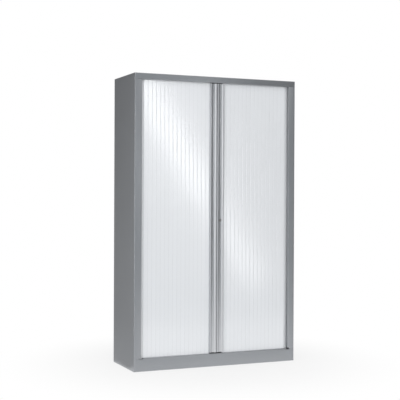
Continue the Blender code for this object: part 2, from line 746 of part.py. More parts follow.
def curtain_outline():
    """Plan of a whole curtain. Each bead bears on the bottom of the socket before it."""
    places = pivots()
    slats = [Slat(bead, socket) for bead, socket in zip(places, places[1:])]
    neck = math.asin(NECK_HALF / BEAD_RADIUS)
    front, rear = [], []
    for index, slat in enumerate(slats):
        if index == 0:
            owner, seat, turn = slat, 0, 0
        else:
            owner, seat = slats[index - 1], BEAD_SEAT_ANGLE
            turn = owner.turn - slat.turn
        bead_front = owner.ring(slat.bead, BEAD_RADIUS, math.pi - seat, turn + neck, BEAD_STEPS)
        bead_rear = owner.ring(slat.bead, BEAD_RADIUS, math.pi + seat, 2 * math.pi + turn - neck, BEAD_STEPS)
        if index == 0:
            bead_rear = bead_rear[1:]
        neck_front, neck_rear = neck_points(slat, bead_front, bead_rear)
        front += neck_front
        rear += neck_rear
        skin = SLAT_PITCH + LIP_REACH - SHOULDER
        for share in (1 / 3, 2 / 3):
            crown = SLAT_CROWN * (1 - (2 * share - 1) ** 2)
            front.append(slat.at(slat.bead, SHOULDER + skin * share, SLAT_HALF + crown))
        last = index == len(slats) - 1
        socket_front, socket_rear = socket_points(slat, 0 if last else BEAD_SEAT_ANGLE)
        front += socket_front
        rear += socket_rear[:-1] if last else socket_rear
    return front + rear[::-1]


def curtains():
    outline = curtain_outline()
    for side, name in ((-1, "left_curtain"), (1, "right_curtain")):
        plan = [(side * x, y) for x, y in outline]
        dress(extrusion(name, "Z", [plan], SLAT_BOTTOM, SLAT_TOP), "white_slat")


def handle_curve():
    """Radius and centre of the finger groove, which runs into both rims without a corner."""
    half = HANDLE_WIDTH / 2 - RIM_RADIUS
    radius = (half**2 + FINGER_DEPTH**2 - 2 * FINGER_DEPTH * RIM_RADIUS) / (2 * FINGER_DEPTH)
    centre = (HANDLE_MIDDLE, FINGER_FLOOR - radius)
    lean = math.atan2(half, HANDLE_CREST + RIM_RADIUS - centre[1])
    return radius, centre, lean


def handle_face(wall):
    """Rim, finger groove and rim of the right handle, or the same inside the wall."""
    radius, centre, lean = handle_curve()
    rim = RIM_RADIUS - wall
    rim_y = HANDLE_CREST + RIM_RADIUS
    up = math.pi / 2
    face = arc((HANDLE_NEAR + RIM_RADIUS, rim_y), rim, -math.pi, -up + lean, RIM_STEPS)
    face += arc(centre, radius + wall, up + lean, up - lean, FINGER_STEPS)[1:-1]
    face += arc((HANDLE_FAR - RIM_RADIUS, rim_y), rim, -up - lean, 0, RIM_STEPS)
    return face


def handle_sections():
    """Outline and cavity of the right handle. Its outer edge holds the first slat's bead in a socket."""
    mouth = math.asin(SOCKET_MOUTH_HALF / SOCKET_RADIUS)
    outline = [(HANDLE_NEAR, HANDLE_BACK)] + handle_face(0)
    outline.append((HANDLE_FAR, FRONT_RUN - SOCKET_MOUTH_HALF))
    outline += arc((FIRST_PIVOT, FRONT_RUN), SOCKET_RADIUS, -mouth, -2 * math.pi + mouth, 2 * BEAD_STEPS)
    outline.append((HANDLE_FAR, FRONT_RUN + SOCKET_MOUTH_HALF))
    outline.append((HANDLE_FAR, HANDLE_BACK))
    step = FRONT_RUN - SOCKET_RADIUS - HANDLE_WALL
    cavity = [(HANDLE_NEAR + HANDLE_WALL, CAVITY_BACK)] + handle_face(HANDLE_WALL)
    cavity.append((HANDLE_FAR - HANDLE_WALL, step))
    cavity.append((HANDLE_FAR - SOCKET_BLOCK, step))
    cavity.append((HANDLE_FAR - SOCKET_BLOCK, CAVITY_BACK))
    return outline, cavity


def cam_slot(side):
    """Cutter for the slot through which the hook cam swings into the other handle."""
    wall_near = HANDLE_MIDDLE - HANDLE_NEAR - HANDLE_WALL
    sweep = math.hypot(CAM_REACH, BARB_HEIGHT)
    low = LOCK_LEVEL - math.sqrt(sweep**2 - wall_near**2) - 2 * CAM_SLOT_CLEARANCE
    high = LOCK_LEVEL + CAM_HALF + CAM_SLOT_CLEARANCE
    y = (CAM_FACE - CAM_SLOT_CLEARANCE / 2, CAM_BACK + CAM_SLOT_CLEARANCE / 2)
    near, far = 0, HANDLE_NEAR + HANDLE_WALL + OVERRUN
    return box("cam_slot_cut", *low_high(side, near, far, *y, low, high))


def handles(slides):
    sections = handle_sections()
    for side, hand in ((-1, "left"), (1, "right")):
        plan = [[(side * x, y) for x, y in section] for section in sections]
        handle = extrusion(f"{hand}_handle", "Z", plan, HANDLE_BOTTOM, HANDLE_TOP)
        cut(handle, cam_slot(side))
        if side > 0:
            span = (HANDLE_CREST - OVERRUN, CAVITY_FRONT + OVERRUN)
            place = (HANDLE_MIDDLE, LOCK_LEVEL)
            cut(handle, rod("lock_hole", "Y", place, *span, HOUSING_RADIUS + SEAT, LOCK_STEPS))
        dress(handle, "anodised_aluminium", slides[hand])


def glides(slides):
    """End pieces of the handles: a plug in the cavity, a plate under the end, a tongue in the track."""
    tongue = (FRONT_RUN - CHANNEL_OUTSIDE + GLIDE_CLEARANCE, FRONT_RUN + CHANNEL_INSIDE - GLIDE_CLEARANCE)
    plate = (FINGER_FLOOR + SEAT, HANDLE_BACK - SEAT)
    plug = (CAVITY_FRONT + SEAT, CAVITY_BACK - SEAT)
    ends = (
        ("lower", HANDLE_BOTTOM - SEAT, -1, SLAT_BOTTOM),
        ("upper", HANDLE_TOP + SEAT, 1, SLAT_TOP),
    )
    for side, hand in ((-1, "left"), (1, "right")):
        near = side * (HANDLE_MIDDLE - GLIDE_HALF)
        far = side * (HANDLE_MIDDLE + GLIDE_HALF)
        for level, seat, way, tip in ends:
            under = seat + way * GLIDE_PLATE
            inner = seat - way * GLIDE_PLUG
            outline = [
                (tongue[0], tip),
                (tongue[1], tip),
                (tongue[1], under),
                (plate[1], under),
                (plate[1], seat),
                (plug[1], seat),
                (plug[1], inner),
                (plug[0], inner),
                (plug[0], seat),
                (plate[0], seat),
                (plate[0], under),
                (tongue[0], under),
            ]
            dress(extrusion(f"{hand}_{level}_glide", "X", [outline], near, far), "glide_plastic", slides[hand])


def lock_housing(place, slide):
    """Sleeve through the groove, and the nut that holds it from inside the handle."""
    sleeve = [
        (HOUSING_BORE, -HOUSING_FACE),
        (HOUSING_RADIUS - HOUSING_CHAMFER, -HOUSING_FACE),
        (HOUSING_RADIUS, -HOUSING_FACE - HOUSING_CHAMFER),
        (HOUSING_RADIUS, -BARREL_END),
        (HOUSING_BORE, -BARREL_END),
    ]
    dress(turned("lock_housing", "Y", place, sleeve, LOCK_STEPS), "nickel", slide)
    front = CAVITY_FRONT + SEAT
    back = front + NUT_THICKNESS
    nut = rod("lock_nut", "Y", place, front, back, NUT_FLATS / math.sqrt(3), 6)
    over = (front - OVERRUN, back + OVERRUN)
    cut(nut, rod("lock_nut_bore", "Y", place, *over, HOUSING_RADIUS + SEAT, LOCK_STEPS))
    dress(nut, "zinc", slide)


def lock_barrel(place, axis):
    """Barrel with its keyhole in front, and behind it the tail that the cam is screwed to."""
    profile = [
        (0, -BARREL_FACE),
        (BARREL_RADIUS, -BARREL_FACE),
        (BARREL_RADIUS, -BARREL_END),
        (BARREL_TAIL_RADIUS, -BARREL_END),
        (BARREL_TAIL_RADIUS, -TAIL_END),
        (0, -TAIL_END),
    ]
    barrel = turned("lock_barrel", "Y", place, profile, LOCK_STEPS)
    x, z = place
    half = (KEYHOLE_WIDTH / 2, KEYHOLE_HEIGHT / 2)
    low = (x - half[0], BARREL_FACE - OVERRUN, z - half[1])
    high = (x + half[0], BARREL_FACE + KEYHOLE_DEPTH, z + half[1])
    cut(barrel, box("keyhole_cut", low, high))
    span = (SCREW_TIP - SEAT, CAM_BACK + OVERRUN)
    cut(barrel, rod("screw_bore_cut", "Y", place, *span, SCREW_RADIUS + SEAT))
    dress(barrel, "nickel", axis)


def hook_cam(place, axis):
    """The hook hangs down inside the right handle. A quarter turn swings it through the left one's wall."""
    x, z = place
    barb_top = z - CAM_REACH + BARB_LENGTH
    plate = arc(place, CAM_HALF, 0, math.pi, BEAD_STEPS * 2)
    plate += [
        (x - CAM_HALF, barb_top),
        (x - BARB_HEIGHT, barb_top),
        (x - BARB_HEIGHT, z - CAM_REACH),
        (x + CAM_HALF, z - CAM_REACH),
    ]
    hole = arc(place, SCREW_RADIUS + SEAT, 0, 2 * math.pi, ROUND_STEPS)[:-1]
    dress(extrusion("hook_cam", "Y", [plate, hole], CAM_FACE, CAM_BACK), "zinc", axis)


def cam_screw(place, axis):
    profile = [
        (0, -SCREW_TIP),
        (SCREW_RADIUS, -SCREW_TIP),
        (SCREW_RADIUS, -SCREW_SEAT),
        (SCREW_HEAD_RADIUS, -SCREW_SEAT),
        (SCREW_HEAD_RADIUS, -SCREW_SEAT - SCREW_HEAD),
        (0, -SCREW_SEAT - SCREW_HEAD),
    ]
    dress(turned("cam_screw", "Y", place, profile, ROUND_STEPS), "zinc", axis)


def lock(slide, axis):
    place = (HANDLE_MIDDLE, LOCK_LEVEL)
    lock_housing(place, slide)
    lock_barrel(place, axis)
    hook_cam(place, axis)
    cam_screw(place, axis)


def linings():
    for side, name in ((-1, "left_lining"), (1, "right_lining")):
        path = [
            (-LINING_EDGE, LINING_FRONT_Y),
            (-LINING_X, LINING_FRONT_Y),
            (-LINING_X, LINING_REAR_Y),
            (-LINING_EDGE, LINING_REAR_Y),
        ]
        dress(sheet(name, "Z", on_side(side, path), ON_BASE, INSIDE_TOP), "silver_grey_paint")


def inner_back_panel():
    low = (-LINING_EDGE, INNER_BACK - SHEET, ON_BASE)
    high = (LINING_EDGE, INNER_BACK, INSIDE_TOP)
    dress(box("inner_back_panel", low, high), "silver_grey_paint")


def within_turn(across):
    """How far a piece may reach one way inside the curtain's turn, when it lies this far across it."""
    return math.sqrt(max(0, LINING_CORNER**2 - across**2))


def floor_shelf():
    """The floor of the cabinet, with its front corners cut back round the turns of the tracks."""
    front = TRACK_BACK + FLOOR_SHELF_FRONT
    half = LINING_X - SEAT
    path = [
        (FLOOR_SHELF_REAR_Y, ON_BASE),
        (FLOOR_SHELF_REAR_Y, FLOOR_SHELF_LEVEL),
        (front, FLOOR_SHELF_LEVEL),
        (front, ON_BASE),
    ]
    shelf = sheet("floor_shelf", "X", path, -half, half)
    notch_x = TURN_X + within_turn(FRONT_TURN_Y - front)
    notch_y = FRONT_TURN_Y - within_turn(half - TURN_X)
    over = (front - OVERRUN, notch_y, ON_BASE - OVERRUN, FLOOR_SHELF_LEVEL + OVERRUN)
    for side, hand in ((-1, "left"), (1, "right")):
        cut(shelf, box(hand + "_shelf_notch_cut", *low_high(side, notch_x, half + OVERRUN, *over)))
    for name, x, y in leveller_places():
        span = (FLOOR_SHELF_LEVEL - SHEET - OVERRUN, FLOOR_SHELF_LEVEL + OVERRUN)
        cut(shelf, rod(name + "_shelf_hole", "Z", (x, y), *span, ACCESS_RADIUS))
    dress(shelf, "silver_grey_paint")


def shelf_level(number):
    return FLOOR_SHELF_LEVEL + number * SHELF_STEP


def shelves():
    for number in range(1, SHELF_COUNT + 1):
        top = shelf_level(number)
        path = [
            (SHELF_REAR_Y - SHELF_RETURN, top - SHELF_FLANGE),
            (SHELF_REAR_Y, top - SHELF_FLANGE),
            (SHELF_REAR_Y, top),
            (SHELF_FRONT_Y, top),
            (SHELF_FRONT_Y, top - SHELF_FLANGE),
            (SHELF_FRONT_Y + SHELF_RETURN, top - SHELF_FLANGE),
        ]
        dress(sheet(f"shelf_{number}", "X", path, -SHELF_HALF, SHELF_HALF), "silver_grey_paint")


def rack_slots(side, y, top):
    """Slot boxes at the rack's pitch. A slot with a shelf clip in it is full, and isn't cut."""
    spans = []
    level = FLOOR_SHELF_LEVEL + RACK_SLOT_PITCH
    while level < top - RACK_SLOT_PITCH / 2:
        middle = level - CLIP_DROP / 2
        half = RACK_SLOT_HEIGHT / 2
        y_span = (y - RACK_SLOT_WIDTH / 2, y + RACK_SLOT_WIDTH / 2)
        near, far = RACK_FACE - OVERRUN, RACK_FACE + SHEET + OVERRUN
        if not any(math.isclose(level, shelf_level(n)) for n in range(1, SHELF_COUNT + 1)):
            spans.append(low_high(side, near, far, *y_span, middle - half, middle + half))
        level += RACK_SLOT_PITCH
    return spans


def shelf_clip(side, y, level):
    """Angle clip under a shelf: a tongue that carries it and a leg against the rack."""
    top = level - SHEET - SEAT
    foot = RACK_FACE + SHEET / 2
    outline = [
        (foot - CLIP_REACH, top),
        (foot, top),
        (foot, top - CLIP_DROP),
        (foot - CLIP_THICKNESS, top - CLIP_DROP),
        (foot - CLIP_THICKNESS, top - CLIP_THICKNESS),
        (foot - CLIP_REACH, top - CLIP_THICKNESS),
    ]
    outline = [(side * x, z) for x, z in outline]
    return extrusion("shelf_clip", "Y", [outline], y - CLIP_WIDTH / 2, y + CLIP_WIDTH / 2)


def racks():
    foot = FLOOR_SHELF_LEVEL + SEAT
    for side, hand in ((-1, "left"), (1, "right")):
        for y, end in ((LINING_FRONT_Y + RACK_INSET, "front"), (LINING_REAR_Y - RACK_INSET, "rear")):
            half = RACK_WIDTH / 2
            wall = LINING_X - SEAT
            path = [
                (-wall, y - half),
                (-RACK_FACE, y - half),
                (-RACK_FACE, y + half),
                (-wall, y + half),
            ]
            rack = sheet(f"{hand}_{end}_rack", "Z", on_side(side, path), foot, INSIDE_TOP)
            cut(rack, boxes(rack.name + "_slots", rack_slots(side, y, INSIDE_TOP)))
            for number in range(1, SHELF_COUNT + 1):
                weld(rack, shelf_clip(side, y, shelf_level(number)))
            dress(rack, "galvanised_steel")


def leveller_places():
    """Name, x and y of each leveller."""
    places = []
    for side, hand in ((-1, "left"), (1, "right")):
        for y, end in ((-LEVELLER_Y, "front"), (LEVELLER_Y, "rear")):
            places.append((f"{hand}_{end}", side * LEVELLER_X, y))
    return places


def leveller_bracket(name, side, x, y):
    web = INSIDE_X - SHEET - SEAT
    inner = LEVELLER_X - BRACKET_OVERHANG
    path = [
        (-web, BRACKET_TOP),
        (-web, BRACKET_LEVEL),
        (-inner, BRACKET_LEVEL),
        (-inner, BRACKET_LEVEL + BRACKET_LIP),
    ]
    half = BRACKET_LENGTH / 2
    bracket = sheet(name + "_bracket", "Y", on_side(side, path), y - half, y + half, BRACKET_SHEET)
    weld(bracket, rod(name + "_boss", "Z", (x, y), BRACKET_LEVEL + BRACKET_SHEET / 2, BOSS_TOP, BOSS_RADIUS))
    span = (BRACKET_LEVEL - OVERRUN, BOSS_TOP + OVERRUN)
    cut(bracket, rod(name + "_boss_bore", "Z", (x, y), *span, STUD_RADIUS + STUD_CLEARANCE))
    dress(bracket, "galvanised_steel")


def leveller_stud(name, x, y, axis):
    stud = rod(name + "_stud", "Z", (x, y), PAD_TOP - STUD_SINK, STUD_TOP, STUD_RADIUS)
    collar = (PAD_TOP + SEAT, PAD_TOP + SEAT + COLLAR_HEIGHT)
    weld(stud, rod(name + "_collar", "Z", (x, y), *collar, COLLAR_FLATS / math.sqrt(3), 6))
    half = STUD_SLOT_WIDTH / 2
    reach = STUD_RADIUS + OVERRUN
    low = (x - reach, y - half, STUD_TOP - STUD_SLOT_DEPTH)
    high = (x + reach, y + half, STUD_TOP + OVERRUN)
    cut(stud, box(name + "_stud_slot", low, high))
    dress(stud, "zinc", axis)


def leveller_pad(name, x, y, axis):
    floor = PAD_TOP - STUD_SINK - SEAT
    bore = STUD_RADIUS + STUD_CLEARANCE
    profile = [
        (0, floor),
        (bore, floor),
        (bore, PAD_TOP),
        (PAD_HUB, PAD_TOP),
        (PAD_RADIUS - PAD_RIM, PAD_LIFT + PAD_RIM + PAD_SHOULDER),
        (PAD_RADIUS, PAD_LIFT + PAD_RIM),
        (PAD_RADIUS, PAD_LIFT),
        (0, PAD_LIFT),
    ]
    dress(turned(name + "_pad", "Z", (x, y), profile), "grey_plastic", axis)


def access_cap(name, x, y):
    """Push-in cap over the hole through which a leveller is turned."""
    top = FLOOR_SHELF_LEVEL + SEAT
    plug = ACCESS_RADIUS - SEAT
    profile = [
        (0, top + CAP_THICKNESS),
        (CAP_RADIUS, top + CAP_THICKNESS),
        (CAP_RADIUS, top),
        (plug, top),
        (plug, top - CAP_PLUG),
        (plug - CAP_WALL, top - CAP_PLUG),
        (plug - CAP_WALL, top),
        (0, top),
    ]
    dress(turned(name + "_access_cap", "Z", (x, y), profile), "grey_plastic")


def levellers():
    for name, x, y in leveller_places():
        axis = empty(name + "_leveller_axis", (x, y, 0))
        leveller_bracket(name, math.copysign(1, x), x, y)
        leveller_stud(name, x, y, axis)
        leveller_pad(name, x, y, axis)
        access_cap(name, x, y)


def empty(name, place):
    obj = put(name, None)
    obj.location = place
    return obj


clear_scene()
PARTS = make_collection("tambour_door_cabinet")
CUTTERS = make_collection("cutters")
side_panels()
top_panel()
back_panel()
front_plinth()
rear_plinth()
base_rails()
base_panel()
tracks()
curtains()
door_slides = {
    "left": empty("left_door_slide", (-HANDLE_MIDDLE, FRONT_RUN, HEIGHT / 2)),
    "right": empty("right_door_slide", (HANDLE_MIDDLE, FRONT_RUN, HEIGHT / 2)),
}
handles(door_slides)
glides(door_slides)
lock(door_slides["right"], empty("lock_axis", (HANDLE_MIDDLE, HOUSING_FACE, LOCK_LEVEL)))
linings()
inner_back_panel()
floor_shelf()
shelves()
racks()
levellers()
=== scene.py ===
"""Looks of a steel tambour door cabinet: finishes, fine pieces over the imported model, studio and camera.

Metres, +Z up. The front faces -Y, and the origin is on the floor under the middle of the cabinet.
"""

import json
import math
import random

import bmesh
import bpy
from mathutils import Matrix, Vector


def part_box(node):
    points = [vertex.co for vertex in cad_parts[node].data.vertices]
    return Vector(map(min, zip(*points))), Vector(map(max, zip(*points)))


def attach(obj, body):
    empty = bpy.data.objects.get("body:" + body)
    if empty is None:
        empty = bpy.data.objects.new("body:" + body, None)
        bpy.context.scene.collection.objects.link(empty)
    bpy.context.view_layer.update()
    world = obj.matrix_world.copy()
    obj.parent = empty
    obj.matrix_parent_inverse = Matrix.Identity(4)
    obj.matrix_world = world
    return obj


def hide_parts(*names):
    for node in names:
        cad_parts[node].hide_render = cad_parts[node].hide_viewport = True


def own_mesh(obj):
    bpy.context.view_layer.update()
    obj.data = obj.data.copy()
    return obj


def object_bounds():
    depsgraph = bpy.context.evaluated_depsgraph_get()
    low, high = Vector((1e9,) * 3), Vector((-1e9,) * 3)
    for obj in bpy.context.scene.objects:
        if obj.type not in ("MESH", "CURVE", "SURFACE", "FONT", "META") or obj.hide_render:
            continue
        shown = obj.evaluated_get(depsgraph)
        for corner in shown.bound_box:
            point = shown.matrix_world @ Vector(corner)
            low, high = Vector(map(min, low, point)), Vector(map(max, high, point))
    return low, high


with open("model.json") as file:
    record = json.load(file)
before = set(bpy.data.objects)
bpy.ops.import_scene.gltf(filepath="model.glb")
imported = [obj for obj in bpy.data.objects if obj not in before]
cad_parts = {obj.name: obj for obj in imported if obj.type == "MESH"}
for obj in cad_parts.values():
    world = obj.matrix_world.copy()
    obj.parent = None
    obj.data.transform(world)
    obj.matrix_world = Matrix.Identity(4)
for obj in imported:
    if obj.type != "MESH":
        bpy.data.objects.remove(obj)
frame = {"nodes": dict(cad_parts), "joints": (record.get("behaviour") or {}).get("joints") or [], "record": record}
CAD_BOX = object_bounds()

SEED = 7
HALVINGS = 60  # tries of a search that halves its span
SHARP_ANGLE = math.radians(35)  # edges that fold more than this stay sharp in the shading
SEAT = 0.0003  # left between two pieces that touch
SPLIT_MERGE = SEAT / 10  # a cut this close to a corner goes through the corner
SPIN_MERGE = SEAT / 30  # corners of a turned shape closer than this are one

# Sheet steel
SHEET = 0.001
FOLD_RADIUS = 0.003
FOLD_STEPS = 8
EDGE_BREAK = 0.0002  # rounding of a cut edge of sheet
EDGE_BREAK_ANGLE = math.radians(60)  # edges that fold more than this are cut edges
JAMB_FACE = 0.050
JAMB_RETURN = 0.018
HEADER_FACE = 0.040
HEADER_LIP = 0.008
PLINTH_FACE = 0.088
LEDGE_DEPTH = 0.0195
LEDGE_LIP = 0.008
FOOT_FLANGE = 0.030
NOTCH_JAMB = 0.011  # the corner notch's width in the jamb
NOTCH_OPENING = 0.014  # and beside the jamb
NOTCH_RISE = 0.006  # its height above the plinth
NOTCH_DROP = 0.006  # and below the plinth's top
REAR_FLANGE = 0.020
TOP_REAR_FLANGE = 0.025

# Slats
SLAT_PITCH = 0.030
SLAT_SKIN = 0.0012
SLAT_CROWN = 0.00003  # swell of a slat's face
BEAD_RADIUS = 0.0014
SOCKET_RADIUS = 0.0017
SOCKET_WALL = 0.0008
NECK_HALF = 0.0005  # half the thickness of the neck that carries a bead
LIP_REACH = 0.0022  # of a slat's front lip past its socket's middle
SLAT_GROOVE = 0.0003  # open joint between two faces
SHOULDER_LENGTH = 0.0015  # of the thick edge that the neck grows from
LIP_ROUND = 0.00012  # rounding of a slat's front edges
LIP_STEPS = 4
FRONT_LIP_ANGLE = math.radians(30)
REAR_LIP_ANGLE = math.radians(-65)
SLAT_STEPS = 8
CROWN_STEPS = 8
SLAT_COUNT = 19
SLAT_TWIST = math.radians(0.03)  # most that a slat leans in its neighbours
JOINT_SHADE = 0.45  # painted shade inside the joints: the slats' colour there, against the tone of a slat's face
TURN_RADIUS = 0.050
SIDE_GAP = 0.020
FRONT_RUN = -0.1905

# Handle profiles
HANDLE_NEAR = 0.0006
HANDLE_FAR = 0.0500
HANDLE_WALL = 0.0018
HANDLE_CREST = -0.2135
NEAR_RIM_RADIUS = 0.0060
FAR_RIM_RADIUS = 0.0040
FINGER_DEPTH = 0.009
SOCKET_BLOCK = 0.0065
SOCKET_MOUTH_HALF = 0.0009
RIM_STEPS = 20
FINGER_STEPS = 40
CAM_SLOT_DEEP = (-0.19455, -0.19130)  # slot for the hook cam in both handles, along Y
CAM_SLOT_TALL = (0.9586, 1.0080)  # and along Z

# Lock
HOUSING_RADIUS = 0.010
HOUSING_BORE = 0.0083
HOUSING_ROUND = 0.0008
BARREL_RADIUS = 0.008
BARREL_TAIL_RADIUS = 0.0045
PLUG_RADIUS = 0.0052
PLUG_GROOVE = 0.0003
KEYHOLE_WIDTH = 0.0016
KEYHOLE_HEIGHT = 0.0080
KEYHOLE_DEPTH = 0.004
LOCK_STEPS = 64

# Levellers and the caps over them
STUD_RADIUS = 0.005
STUD_SLOT_WIDTH = 0.0016
STUD_SLOT_DEPTH = 0.002
THREAD_START = 0.010  # of the thread above the stud's lower end
THREAD_PITCH = 0.0015
THREAD_DEPTH = 0.0005
COLLAR_FLATS = 0.017
COLLAR_HEIGHT = 0.0018
COLLAR_CHAMFER = 0.0004
PAD_RIM = 0.002
PAD_SHOULDER = 0.003
PAD_HUB = 0.009
PAD_SOLE = 0.0005  # recess under the pad
PAD_ROUND = 0.0006
STUD_SINK = 0.003
STUD_CLEARANCE = 0.0003
CAP_THICKNESS = 0.001
CAP_PLUG_RADIUS = 0.0092
CAP_WALL = 0.0012
CAP_ROUND = 0.0005
CAP_NOTCH = 0.003  # width of the notch for prising a cap out
PAD_STEPS = 48

# Camera, solved from the edges of the cabinet in the photograph
CAMERA_PLACE = Vector((-2.6933, -6.1250, 1.1814))
CAMERA_YAW = 0.40927
CAMERA_PITCH = -0.0066
CAMERA_ROLL = -0.00425
CAMERA_FOCAL_SHARE = 948.4 / 400  # focal length as a share of the picture's width
SENSOR = 36

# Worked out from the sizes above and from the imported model
HALF_WIDTH = CAD_BOX[1].x
FRONT = CAD_BOX[0].y
BACK = CAD_BOX[1].y
HEIGHT = CAD_BOX[1].z
JAMB_EDGE = HALF_WIDTH - JAMB_FACE
HEADER_LEVEL = HEIGHT - HEADER_FACE
JAMB_FOOT = PLINTH_FACE - FOLD_RADIUS  # the jambs come down flush with the plinth beside its fold
BACK_SKIN = BACK - SHEET - SEAT
INSIDE_X = HALF_WIDTH - SHEET - SEAT
BETWEEN_FOLDS_X = HALF_WIDTH - FOLD_RADIUS - SEAT
SLAT_HALF = SOCKET_RADIUS + SOCKET_WALL
SHOULDER = LIP_REACH + SLAT_GROOVE
UNDER_SKIN = SLAT_HALF - SLAT_SKIN
FIRST_PIVOT = HANDLE_FAR + SEAT - SHOULDER
SIDE_RUN = HALF_WIDTH - SIDE_GAP
TURN_X = SIDE_RUN - TURN_RADIUS
TURN_Y = FRONT_RUN + TURN_RADIUS
QUARTER = TURN_RADIUS * math.pi / 2
FINGER_FLOOR = HANDLE_CREST + FINGER_DEPTH
HANDLE_BACK = FRONT_RUN + SLAT_HALF


class Value:
    """A number in a material. Sums, products and powers of it add Math nodes."""

    def __init__(self, surface, socket):
        self.surface = surface
        self.socket = socket

    def math(self, operation, *values):
        return self.surface.node("ShaderNodeMath", {"operation": operation}, dict(enumerate(values)))

    def __add__(self, other):
        return self.math("ADD", self, other)

    def __radd__(self, other):
        return self.math("ADD", other, self)

    def __sub__(self, other):
        return self.math("SUBTRACT", self, other)

    def __rsub__(self, other):
        return self.math("SUBTRACT", other, self)

    def __mul__(self, other):
        return self.math("MULTIPLY", self, other)

    def __rmul__(self, other):
        return self.math("MULTIPLY", other, self)

    def __pow__(self, other):
        return self.math("POWER", self, other)

    def floor_at(self, low):
        return self.math("MAXIMUM", self, low)

    def kept_below(self, high):
        return self.math("MINIMUM", self, high)


class Nodes:
    """A node tree that is being written."""

    def __init__(self, tree):
        self.tree = tree

    def node(self, kind, settings=None, sockets=None, output=0):
        """Adds a node: its settings first, then the values or links of its sockets. Returns an output."""
        node = self.tree.nodes.new(kind)
        for name, value in (settings or {}).items():
            setattr(node, name, value)
        for name, value in (sockets or {}).items():
            self.feed(node.inputs[name], value)
        return Value(self, node.outputs[output])

    def feed(self, socket, value):
        if isinstance(value, Value):
            self.tree.links.new(value.socket, socket)
        else:
            socket.default_value = value

    def mix(self, share, first, second):
        """Colour between two colours."""
        mixed = self.tree.nodes.new("ShaderNodeMix")
        mixed.data_type = "RGBA"
        for name, value in {"Factor": share, "A": first, "B": second}.items():
            socket = next(s for s in mixed.inputs if s.name == name and s.enabled)
            self.feed(socket, value)
        return Value(self, next(s for s in mixed.outputs if s.enabled))

    def point(self):
        return self.node("ShaderNodeTexCoord", output="Object")

    def stretched(self, scale):
        """Object coordinates with a scale for each axis."""
        settings = {"operation": "MULTIPLY"}
        return self.node("ShaderNodeVectorMath", settings, {0: self.point(), 1: scale})

    def noise(self, scale, detail, vector=None):
        sockets = {"Scale": scale, "Detail": detail, "Vector": vector or self.point()}
        return self.node("ShaderNodeTexNoise", {}, sockets, output="Fac")

    def cells(self, scale):
        """Cells of a random colour each."""
        sockets = {"Scale": scale, "Vector": self.point()}
        return self.node("ShaderNodeTexVoronoi", {}, sockets, output="Color")

    def bump(self, height, distance):
        return self.node("ShaderNodeBump", {}, {"Height": height, "Distance": distance})


class Surface(Nodes):
    """A material under its Principled BSDF."""

    def __init__(self, name):
        self.material = bpy.data.materials.new(name)
        self.material.use_nodes = True
        super().__init__(self.material.node_tree)
        self.shader = self.tree.nodes["Principled BSDF"]

    def finish(self, **sockets):
        """Sets the shader's sockets, named in small letters with _ for each space."""
        for name, value in sockets.items():
            self.feed(self.shader.inputs[name.replace("_", " ").title().replace("Ior", "IOR")], value)
        return self.material


def shade(colour, factor):
    """A colour made darker or lighter, as a socket takes it."""
    return (*(part * factor for part in colour), 1)


def paint():
    """Silver-grey powder coat: a fine orange peel, with faint flakes of lighter pigment."""
    surface = Surface("silver_grey_powder_coat")
    colour = (0.360, 0.374, 0.394)
    cloud = surface.noise(2.2, 3)
    flakes = surface.noise(2600, 1)
    tone = surface.mix(cloud * 0.6 + flakes * 0.4, shade(colour, 0.95), shade(colour, 1.07))
    peel = surface.noise(750, 2)
    swell = surface.noise(9, 1)
    roughness = 0.36 + swell * 0.06 + flakes * 0.05
    return surface.finish(
        base_color=tone,
        metallic=0.85,
        roughness=roughness,
        normal=surface.bump(peel, 0.00006),
    )


def slat_plastic():
    """White extruded plastic with a soft gloss and faint draw lines along each slat, and painted shade inside the
    joints between slats.
    """
    surface = Surface("white_slat_plastic")
    colour = (0.800, 0.822, 0.850)
    lines = surface.noise(1, 3, surface.stretched((420, 420, 1.2)))
    tone = surface.node("ShaderNodeAttribute", {"attribute_name": "slat_tone"}, output="Fac")
    joint = surface.node("ShaderNodeAttribute", {"attribute_name": "slat_joint_painted_shade"}, output="Fac")
    mixed = surface.mix(lines * 0.5 + tone * 0.5, shade(colour, 0.985), shade(colour, 1.01))
    # painted shade: inside the joints the colour darkens to JOINT_SHADE of the slat's tone
    mixed = surface.mix(joint, mixed, shade(colour, JOINT_SHADE))
    wave = surface.noise(1, 1, surface.stretched((60, 60, 3)))
    return surface.finish(
        base_color=mixed,
        roughness=0.20 + lines * 0.05,
        coat_weight=1.0,
        coat_roughness=0.14,
        coat_ior=1.75,
        normal=surface.bump(lines + wave * 0.6, 0.00002),
    )


def aluminium():
    """Satin anodised aluminium, drawn along the profile."""
    surface = Surface("satin_anodised_aluminium")
    colour = (0.605, 0.615, 0.635)
    lines = surface.noise(1, 4, surface.stretched((1400, 1400, 1.5)))
    broad = surface.noise(1, 2, surface.stretched((180, 180, 0.8)))
    tone = surface.mix(lines * 0.6 + broad * 0.4, shade(colour, 0.93), shade(colour, 1.06))
    return surface.finish(
        base_color=tone,
        metallic=1.0,
        roughness=0.28 + lines * 0.08 + broad * 0.04,
        normal=surface.bump(lines, 0.00002),
    )


def galvanised():
    """Galvanised sheet with its spangle."""
    surface = Surface("galvanised_sheet")
    colour = (0.50, 0.51, 0.52)
    spangle = surface.node("ShaderNodeSeparateColor", {}, {"Color": surface.cells(140)}, output="Red")
    fine = surface.noise(900, 2)
    tone = surface.mix(spangle * 0.7 + fine * 0.3, shade(colour, 0.82), shade(colour, 1.12))
    return surface.finish(
        base_color=tone,
        metallic=0.95,
        roughness=0.30 + spangle * 0.18,
        normal=surface.bump(fine, 0.00002),
    )


